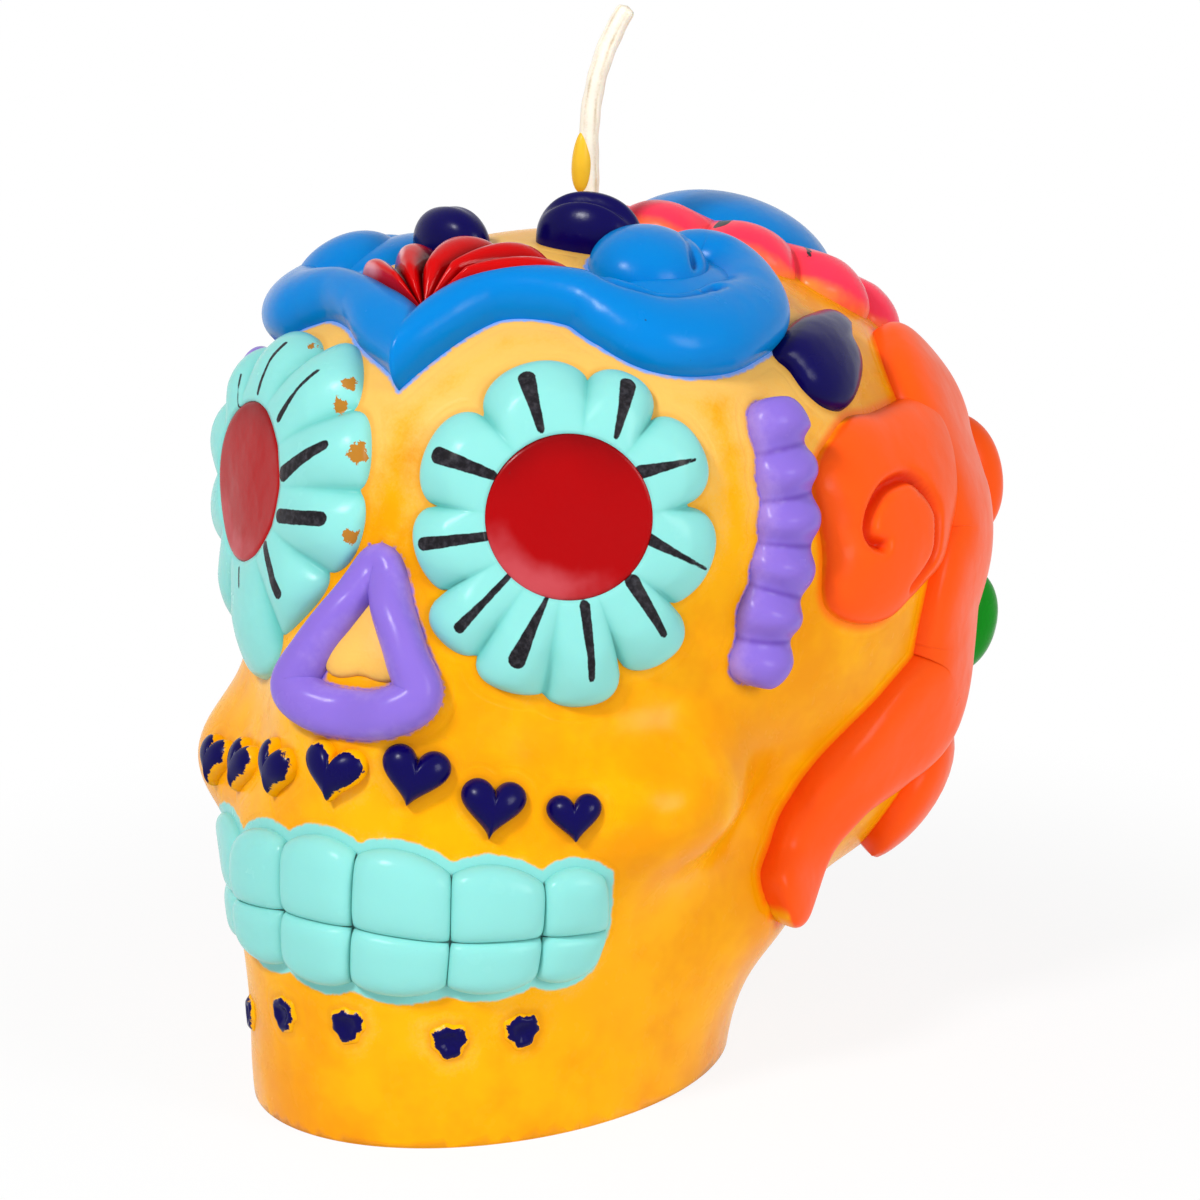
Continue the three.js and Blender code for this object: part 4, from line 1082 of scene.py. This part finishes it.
# %% Leaves
def leaf_mesh(middle, length, width, turn, lift, crease):
    """A tall oval lump with a line along it, which crease makes deeper."""
    turned = math.radians(turn)

    def outline(angle):
        along, aside = np.cos(angle - turned), np.sin(angle - turned)
        return 1 / np.hypot(along / (length / 2), aside / (width / 2))

    def height(angle, out):
        outer = outline(angle)
        aside = outer * out * np.sin(angle - turned)
        line = bell((aside + 0.12 * width) / (0.55 * MM)) * clamp(1 - out**3)
        return lift * puff(out, 2.3) * (1 - crease * line)

    return patch(middle, outline, height, 80, 24)


def traced_outline(middle, points):
    """The reach of a traced outline in each direction round a middle."""
    spot, across, upwards = middle
    x = (points - spot) @ across
    y = (points - spot) @ upwards
    angles = np.arctan2(y, x) % (2 * math.pi)
    order = np.argsort(angles)
    return lambda angle: np.interp(angle, angles[order], np.hypot(x, y)[order], period=2 * math.pi)


left_top_mesh = leaf_mesh(on_top(0.078, 0.125, 1.01), 10.8 * MM, 6.8 * MM, 12, 5.2 * MM, 0.2)
right_top_mesh = leaf_mesh(on_top(-0.097, 0.068, 1), 9 * MM, 6 * MM, 165, 4.5 * MM, 0.05)
finish_piece(left_top_mesh, "left_top_leaf", "navy", "left_crown_leaf")
finish_piece(right_top_mesh, "right_top_leaf", "navy", "right_crown_leaf")
side_leaf_spots = [
    (781, 345), (791, 324), (811, 312), (834, 310), (851, 322), (853, 341), (863, 362), (864, 376),
    (855, 400), (848, 404), (830, 398), (811, 381), (797, 362), (785, 352),
]
side_leaf_points = smooth_line(seen(side_leaf_spots, 1.2 * MM), 120, looped=True)
side_middle = frame_at(side_leaf_points.mean(axis=0))
side_leaf_outline = traced_outline(side_middle, side_leaf_points)
side_leaf = puffed(side_middle, side_leaf_outline, 3 * MM, 2.3, 80, 24)
set_chip_marks(side_leaf, [(824, 381)], 1.1 * MM)
finish_pair(side_leaf, "side_leaf", "navy", "temple_leaf")

# %% Beads
bead_rows = [
    (0.411, 0.079, 0.85, 7.2), (0.422, 0.066, 0.82, 7.5), (0.435, 0.063, 0.763, 7.6),
    (0.44, 0.06, 0.709, 7.6), (0.441, 0.048, 0.651, 7.5), (0.434, 0.033, 0.6, 7.3),
    (0.426, 0.027, 0.548, 7.0), (0.421, 0.03, 0.512, 6.6),
]


def bead_waist(way):
    """1 in the narrow creases between the beads and 0 on them."""
    inside = clamp(np.minimum(way, 1 - way) / 0.08)
    return np.abs(np.cos(math.pi * 6 * way)) ** 2.4 * (inside >= 1)


def bead_width(way):
    return (1 - 0.12 * bead_waist(way)) * round_ends(way, 0.085)


def bead_height(way, out):
    return 3.2 * MM * (1 - 0.38 * bead_waist(way)) * (0.5 + 0.5 * round_ends(way, 0.085)) * puff(out, 2)


def bead_marks(way, aside, half):
    # painted shade in the creases between the beads
    return {"hollow": bead_waist(way) ** 14 * 0.6}


beads = cord(wide_places(bead_rows), 180, 22, bead_width, bead_height, extra=bead_marks)
finish_pair(beads, "bead_row", "purple", "temple_beads")

# %% [markdown]
# ## The side scroll and its band
# The orange scroll is a broad puffy plate with a hooked groove that makes it read as a spiral. We trace its
# outline in the photograph, because it lies flat to the camera, and sink the groove by its distance. The
# band behind it runs from the crown down to the jaw.

# %% Side scroll
scroll_outline_shares = [
    [0.425, 0.252, 0.798], [0.425, 0.202, 0.804], [0.432, 0.156, 0.79], [0.435, 0.119, 0.768],
    [0.438, 0.105, 0.743], [0.445, 0.108, 0.706], [0.453, 0.109, 0.664], [0.457, 0.104, 0.602],
    [0.464, 0.121, 0.578], [0.476, 0.158, 0.56], [0.485, 0.195, 0.558], [0.491, 0.225, 0.571],
    [0.494, 0.257, 0.584], [0.493, 0.3, 0.6], [0.49, 0.335, 0.64], [0.475, 0.4, 0.7],
    [0.455, 0.43, 0.76], [0.425, 0.43, 0.8], [0.428, 0.33, 0.8],
]
hook_spots = [
    (886, 545), (877, 541), (872, 531), (875, 510), (886, 489), (900, 479), (912, 477), (926, 489),
    (938, 510), (940, 529), (938, 557), (929, 576), (919, 590),
]


def front_fade(mesh, fade_reach, fade_from):
    """The paint thins out to yellow near the foot, on the side that faces the front."""
    foot = np.array([vert[mesh.verts.layers.float["foot"]] for vert in mesh.verts])
    points = points_of(mesh)
    return clamp(1 - foot / fade_reach) * clamp((fade_from - points[:, 1]) / (6 * MM))


def scroll_mesh():
    middle = frame_at(share_place(0.47, 0.22, 0.68))
    closed = smooth_line(np.array(scroll_outline_shares) * skull_size, 240, looped=True)
    mesh = puffed(middle, traced_outline(middle, closed), 2.7 * MM, 3.4, 220, 52)
    hook = smooth_line(seen(hook_spots, 2.6 * MM), 50)
    sunk = carve(mesh, hook, 0.6 * MM, 1.5 * MM)
    # the first mark is painted shade in the hooked groove
    set_marks(mesh, {"hollow": sunk / MM * 0.75, "fade": front_fade(mesh, 0.4, 26 * MM) * 0.5})
    return mesh


finish_pair(scroll_mesh(), "scroll_plate", "orange", "side_scroll")

# %% Side band
band_rows = [
    (0.334, 0.475, 0.82, 10), (0.377, 0.444, 0.798, 15.5), (0.42, 0.42, 0.758, 19),
    (0.455, 0.407, 0.681, 17.8), (0.467, 0.404, 0.615, 15.6), (0.477, 0.37, 0.54, 17),
    (0.467, 0.36, 0.476, 16.6), (0.46, 0.34, 0.43, 15.2), (0.451, 0.27, 0.39, 13.4),
    (0.42, 0.21, 0.352, 10.8), (0.384, 0.187, 0.303, 9), (0.368, 0.161, 0.247, 8.8),
    (0.371, 0.13, 0.214, 8.8), (0.37, 0.112, 0.195, 8.4),
]


def band_height(way, out):
    waves = 1 + 0.1 * np.sin(way * 26) * (out < 0.9)
    return 2.75 * MM * (0.6 + 0.4 * round_ends(way, 0.05)) * waves * puff(out, 4.4)


def band_marks(way, aside, half):
    """The paint thins out into yellow along the band's front edge."""
    from_front = (1 - aside) * half / MM
    return {"fade": clamp(0.7 - from_front * 0.6)}


def band_width(way):
    return round_ends(way, 0.035)


band = cord(wide_places(band_rows), 190, 34, band_width, band_height, extra=band_marks)
finish_pair(band, "long_band", "orange", "side_band")

# %% [markdown]
# ## The crown flower and the back of the head
# A blue dome sits in a ring of pink petals on the back of the crown. The photograph doesn't show the back,
# so its flower, buds, leaves and band are plain forms of the same family.

# %% Crown flower
crown_middle = on_top(0.03, 0.484, 0.935)
crown_strokes = [
    ((640, 215), (668, 214), 0.35, 0.5), ((722, 222), (745, 224), 0.7, 0.5),
    ((775, 232), (800, 243), 0.35, 0.35), ((800, 243), (810, 255), 0.35, 0.2),
]


def even_petals(count, notch_reach, reach):
    """Petals of one size for a round flower."""
    return [(360 * i / count, notch_reach, reach) for i in range(count)]


def crown_extra(angle, out, reach):
    return {"fade": np.clip(out * 4 - 3.4, 0, 0.8)}


crown_petals = petal_ring(crown_middle, even_petals(10, 16.4, 19.2), 10.6 * MM, 3.3 * MM, extra=crown_extra)
set_stroke_marks(crown_petals, crown_strokes, 2.4 * MM)
crown_dome = puffed(crown_middle, 11.5 * MM, 5.8 * MM, 2.1, 110, 36)
finish_piece(crown_petals, "crown_petal_ring", "pink", "crown_flower_petals")
finish_piece(crown_dome, "crown_dome", "blue", "crown_flower_dome", seated=False)

# %% Back of the head
def back_extra(angle, out, reach):
    return {"fade": clamp(1 - out * 1.7)}


back_middle = frame_at(share_place(0, 0.688, 0.6))
back_ring = even_petals(8, 12.1, 14.4)
back_petals = petal_ring(back_middle, back_ring, 4.4 * MM, 2.4 * MM, sides=240, extra=back_extra)
back_dome = puffed(back_middle, 4.8 * MM, 2.6 * MM, 2.1, 64, 22)
finish_piece(back_petals, "back_petal_ring", "orange", "back_flower_petals")
finish_piece(back_dome, "back_dome", "blue", "back_flower_dome", seated=False)
bud = leaf_mesh(frame_at(share_place(0.4, 0.565, 0.65)), 13.5 * MM, 7.4 * MM, 90, 4.8 * MM, 0.25)
rear_leaf = leaf_mesh(frame_at(share_place(0.4, 0.54, 0.455)), 12.6 * MM, 7 * MM, 90, 5.4 * MM, 0.3)
finish_pair(bud, "rear_bud", "orange", "back_bud")
finish_pair(rear_leaf, "rear_leaf", "green", "back_leaf")

# half of the nape's band, from its middle to its left end. The other half mirrors it.
nape_half = [
    (0.16, 0.56, 0.27, 9), (0.34, 0.47, 0.28, 13), (0.385, 0.39, 0.27, 15), (0.34, 0.33, 0.235, 12),
]
nape_rows = [(-x, *rest) for x, *rest in nape_half[::-1]] + [(0, 0.585, 0.265, 9)] + nape_half


def nape_width(way):
    return round_ends(way, 0.09)


def nape_height(way, out):
    return 2.9 * MM * (0.6 + 0.4 * round_ends(way, 0.1)) * puff(out, 3)


nape = cord(wide_places(nape_rows), 120, 22, nape_width, nape_height)
finish_piece(nape, "nape_cord", "orange", "nape_band")

# %% [markdown]
# ## The wick
# The wick is braided cotton, stiff with wax. It stands straight on the crown and bends over at its top. A
# run of yellow wax clings to one side.

# %% Wick
wick_x, wick_y = 0.42 * MM, 0.221 * skull_size[1]
wick_radius = 1.05 * MM
wick_length_mm = 104
straight_top = 91.5 * MM
bend_rise, bend_reach = 11.2 * MM, 3.9 * MM
drip_height, drip_half_length = 87.2 * MM, 3.1 * MM


def wick_line(count):
    """The wick's middle line. Its top bends level, to the camera's right."""
    places = [np.array([wick_x, wick_y, height]) for height in (0.3 * MM, 40 * MM, straight_top)]
    for up_share, reach_share in ((0.29, 0.13), (0.55, 0.36), (0.77, 0.62), (1, 1)):
        rise = np.array([wick_x, wick_y, straight_top + up_share * bend_rise])
        places.append(rise + level * reach_share * bend_reach)
    return smooth_line(places, count)


def wick_mesh():
    steps = 420
    mesh, along, round_way = grid(steps, 22)
    line = wick_line(steps + 1)
    index = np.rint(along * steps).astype(int)
    tangent = normed(np.gradient(line, axis=0))
    side = normed(np.cross(tangent, np.array([0.0, 1.0, 0.0])))
    other = np.cross(tangent, side)
    angle = round_way * 2 * math.pi
    travelled = along * wick_length_mm
    braid = np.abs(np.sin(angle * 3 + travelled * 0.12)) ** 0.6
    uneven = 0.04 * np.sin(travelled * 0.9 + 2 * np.sin(angle)) + 0.025 * np.sin(travelled * 2.1 + angle)
    end = round_ends(np.maximum(along, 0.5), 0.006)
    radius = wick_radius * (0.92 + 0.03 * braid + uneven) * np.where(along > 0.5, end, 1)
    aside = side[index] * (radius * np.cos(angle))[:, None] + other[index] * (radius * np.sin(angle))[:, None]
    move_points(mesh, line[index] + aside)
    set_marks(mesh, {"braid": braid})
    bmesh.ops.remove_doubles(mesh, verts=mesh.verts, dist=merge_gap)
    bmesh.ops.holes_fill(mesh, edges=[edge for edge in mesh.edges if edge.is_boundary], sides=0)
    bmesh.ops.recalc_face_normals(mesh, faces=mesh.faces)
    return mesh


def drip_mesh():
    """A run of wax: a stretched ball with a heavy foot."""
    mesh = bmesh.new()
    bmesh.ops.create_uvsphere(mesh, u_segments=40, v_segments=28, radius=1)
    for vert in mesh.verts:
        foot = (1 - vert.co.z) / 2
        girth = (0.85 + 0.35 * foot) * MM
        middle = np.array([wick_x, wick_y, drip_height]) + (back * 0.4 - right * (0.75 + 0.25 * foot)) * MM
        vert.co = middle + np.array([vert.co.x * girth, vert.co.y * girth, vert.co.z * drip_half_length])
    bmesh.ops.recalc_face_normals(mesh, faces=mesh.faces)
    return mesh


def cotton_material():
    material, shader, place = start_material("waxed cotton", wax_inputs)
    braid = mark(place, "braid")
    fuzz = place.noise(0.35, 3, 0.7)
    tone = (braid * 0.6 + fuzz * 0.6).step(0.15, 0.85).mix(srgb(206, 186, 152), srgb(246, 238, 222))
    feed(shader, tone, 0.75 + fuzz * 0.2, braid * 0.6 + fuzz * 0.5, 0.5, 0.15 * MM)
    return material


paints["cotton"] = (cotton_material(), "cotton")
finish_piece(wick_mesh(), "cotton_wick", "cotton", "wick", seated=False)
finish_piece(drip_mesh(), "wax_run", "wax run", "wick_drip", seated=False)

# %% [markdown]
# ## The skull itself
# The body starts as a ball of many small faces. Each point moves out along its ray to the skull's surface.
# Faces near the ornaments' feet are split once more, so the painted edges there stay fine. The jaw is cut
# flat, and a round recess in the base takes the wick's tin tab.

# %% Body
recess_radius = 6.5 * MM
recess_depth = 1.3 * MM
ball_centre = np.array([0, 12, 40]) * MM
ball_splits = 7
beyond_skull = 90 * MM
halvings = 30
fine_reach = 1.8 * MM
# these paints leave a fringe of their own on the wax. Distances to a foot are kept up to far_mm.
fringe_paints = ("teeth", "blue", "purple", "orange")
far_mm = 30


def ball_on_skull():
    mesh = bmesh.new()
    bmesh.ops.create_icosphere(mesh, subdivisions=ball_splits, radius=1)
    directions = points_of(mesh)
    inside = np.zeros(len(directions))
    outside = np.full(len(directions), beyond_skull)
    for _ in range(halvings):
        middle = (inside + outside) / 2
        deep = skull_distance(ball_centre + directions * middle[:, None]) < 0
        inside = np.where(deep, middle, inside)
        outside = np.where(deep, outside, middle)
    move_points(mesh, ball_centre + directions * inside[:, None])
    return mesh


def rim_tree(paint_names):
    spots = [spot for name in paint_names for spot in rims[name]]
    tree = KDTree(len(spots))
    for i, spot in enumerate(spots):
        tree.insert(spot, i)
    tree.balance()
    return tree


def refine_near_rims(mesh, reach):
    """Splits the faces close to an ornament's foot."""
    tree = rim_tree(rims)
    near = {vert for vert in mesh.verts if tree.find(vert.co)[2] < reach}
    edges = {edge for face in mesh.faces if any(vert in near for vert in face.verts) for edge in face.edges}
    bmesh.ops.subdivide_edges(mesh, edges=list(edges), cuts=1, use_grid_fill=True)
    bmesh.ops.triangulate(mesh, faces=[face for face in mesh.faces if len(face.verts) > 3])
    move_points(mesh, onto_skull(points_of(mesh))[0])


def cut_base(mesh):
    """Cuts the jaw flat and sinks the tab's recess into the cut."""
    everything = mesh.verts[:] + mesh.edges[:] + mesh.faces[:]
    level_cut = {"plane_co": (0, 0, 0), "plane_no": (0, 0, 1), "clear_inner": True}
    bmesh.ops.bisect_plane(mesh, geom=everything, dist=0.01 * MM, **level_cut)
    base_edges = [edge for edge in mesh.edges if edge.is_boundary]
    place = Matrix.Translation((wick_x, wick_y, 0))
    made = bmesh.ops.create_circle(mesh, cap_ends=False, segments=64, radius=recess_radius, matrix=place)
    circle_edges = list({edge for vert in made["verts"] for edge in vert.link_edges})
    bmesh.ops.triangle_fill(mesh, edges=base_edges + circle_edges, use_beauty=True, normal=(0, 0, -1))
    wall = bmesh.ops.extrude_edge_only(mesh, edges=circle_edges)
    wall_verts = [item for item in wall["geom"] if isinstance(item, bmesh.types.BMVert)]
    bmesh.ops.translate(mesh, vec=(0, 0, recess_depth), verts=wall_verts)
    top_edges = [edge for edge in mesh.edges if edge.is_boundary]
    bmesh.ops.holes_fill(mesh, edges=top_edges, sides=0)


def body_marks(mesh):
    """How far each point lies from the feet of the ornaments, by their paint, in millimetres."""
    groups = {f"near_{name}": [name] for name in fringe_paints}
    groups["near_any"] = list(rims)
    for mark_name, paint_names in groups.items():
        tree = rim_tree(paint_names)
        set_marks(mesh, {mark_name: [min(tree.find(vert.co)[2] / MM, far_mm) for vert in mesh.verts]})
    points = points_of(mesh) / skull_size
    high = clamp((points[:, 2] - 0.68) / 0.2) * clamp((0.35 - points[:, 1]) / 0.25)
    set_marks(mesh, {"forehead": high * 0.7})


def body_material():
    material, shader, place = start_material("yellow wax", wax_inputs)
    any_foot = mark(place, "near_any")
    colour, bloom = bare_wax(place, any_foot.step(5, 0.5) * 0.55 + mark(place, "forehead"))
    fine = place.noise(1.0, 3, 0.6)
    # painted shade: the wax turns a deeper yellow right at each ornament's foot
    foot_shade = any_foot.step(0.7, 0.1)
    colour = (foot_shade * 0.3).mix(colour, foot_shade_yellow)
    fringes = [("near_teeth", mint, 0.9), ("near_blue", pale_blue, 0.35), ("near_purple", purple, 0.15)]
    for name, tint, reach in fringes:
        edge = mark(place, name) + (fine - 0.5) * 0.6
        colour = edge.step(reach + 0.15, reach - 0.15).mix(colour, tint)
    glow_share = mark(place, "near_orange").step(1.1, 0) * 0.6
    colour = glow_share.mix(colour, orange)
    roughness = 0.18 + place.noise(3.4, 3, 0.6) * 0.16 + bloom * 0.14
    ring = (any_foot - 1.2) * (any_foot - 1.2) * 12
    groove = 1 - ring.low_of(1)
    wavy = place.noise(6, 2, 0.5) * 1.2 + fine * 0.06 - groove * 0.1 + bloom * place.noise(0.6, 2, 0.6) * 0.2
    feed(shader, colour, roughness, wavy, 0.4, 0.5 * MM)
    return material


body = ball_on_skull()
refine_near_rims(body, fine_reach)
cut_base(body)
body_marks(body)
bmesh.ops.recalc_face_normals(body, faces=body.faces)
print("body faces:", len(body.faces))
paints["yellow"] = (body_material(), "yellow_wax")
finish_piece(body, "skull_casting", "yellow", "skull_body", seated=False)

# %% Nose mound
mound_middle = frame_at(seen([(364, 643)], 0.6 * MM)[0])


def mound_outline(angle):
    return 3.9 * MM * (1 + 0.22 * np.cos(3 * (angle - math.pi / 2)))


mound = puffed(mound_middle, mound_outline, MM, 3, 48, 14)
mound_marks = {"near_any": 1, "forehead": 0.6} | {f"near_{name}": far_mm for name in fringe_paints}
set_marks(mound, {name: [number] * len(mound.verts) for name, number in mound_marks.items()})
finish_piece(mound, "nose_mound", "yellow", seated=False)

# %% [markdown]
# ## The tab in the base
# The tin tab keeps its solid: a plain disc with a crimped collar looks right as it is. Only its finish is
# new: tinned steel with a few dull spots.

# %% Tin tab
def tin_material():
    material, shader, place = start_material("tinned steel", {"Metallic": 1})
    spots = place.noise(1.6, 3, 0.6)
    tone = spots.step(0.35, 0.7).mix(srgb(176, 178, 182), srgb(222, 222, 224))
    feed(shader, tone, 0.28 + spots * 0.25, spots, 0.2, 0.1 * MM)
    return material


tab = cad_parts["wick_tab"]
tab.data.materials.clear()
tab.data.materials.append(tin_material())
print("pieces:", len(piece_names))

# %% [markdown]
# ## Floor, light and background
# The floor is a plain white sheet. A lamp at the camera's upper left gives the soft highlights, a weaker and
# broader one fills in from the right, and a white sky keeps the colours as they are written.

# %% Floor
floor_mesh = bmesh.new()
floor_half_width = 3
bmesh.ops.create_grid(floor_mesh, x_segments=1, y_segments=1, size=floor_half_width)
floor = mesh_object(floor_mesh, "floor")
candle_middle = (0, 0.018, 0)


def seen_rays(tree):
    """1 for rays that the camera sees, also in reflections, and 0 for those that only carry light."""
    path = tree.nodes.new("ShaderNodeLightPath")
    camera_ray, glossy_ray, clear_ray = [
        Shade(tree, path.outputs[f"Is {kind} Ray"]) for kind in ("Camera", "Glossy", "Transmission")
    ]
    return (camera_ray + glossy_ray + clear_ray).low_of(1)


def paper_material():
    """Shows plain white where it is seen. Close to the candle a little of its shadow stays."""
    paper_inputs = {"Base Color": (0.9, 0.9, 0.9, 1), "Roughness": 0.9}
    material, shader, place = start_material("white floor", paper_inputs)
    distance = {"operation": "DISTANCE"}
    from_candle = place.out("ShaderNodeVectorMath", distance, {0: place, 1: candle_middle}, "Value")
    whiteness = from_candle.step(0.05, 0.12) * 0.12 + 0.88
    glow = place.out("ShaderNodeEmission", {}, {"Strength": 1})
    lit = Shade(place.tree, shader.outputs[0])
    mixed = place.out("ShaderNodeMixShader", {}, {0: seen_rays(place.tree) * whiteness, 1: lit, 2: glow})
    place.tree.links.new(mixed.socket, place.tree.nodes["Material Output"].inputs["Surface"])
    return material


floor.data.materials.append(paper_material())

# %% Sky and lamps
world = bpy.data.worlds.new("sky")
bpy.context.scene.world = world
world.use_nodes = True
sky = world.node_tree.nodes["Background"]
sky.inputs["Color"].default_value = (1, 1, 1, 1)
sky_light = 0.34
brightness = sky_light + seen_rays(world.node_tree) * (1 - sky_light)
world.node_tree.links.new(brightness.socket, sky.inputs["Strength"])


lit_point = Vector((0, 0.01, 0.045))


def lamp(name, place, power, size):
    light = bpy.data.lights.new(name, "AREA")
    light.energy = power
    light.size = size
    spot = Vector(place)
    aim = lit_point - spot
    turn = aim.to_track_quat("-Z", "Y").to_matrix().to_4x4()
    add_object(name, light).matrix_world = Matrix.Translation(spot) @ turn


def from_camera(aside, over, ahead):
    """A place given as metres to the camera's right, over it and ahead of it."""
    return (eye_point + right * aside + up * over - back * ahead).tolist()


lamp("key lamp", from_camera(-0.28, 0.32, 0.05), 2.7, 0.1)
lamp("fill lamp", from_camera(0.4, 0.1, 0.1), 1.4, 0.2)
bpy.context.scene.view_settings.view_transform = "Standard"
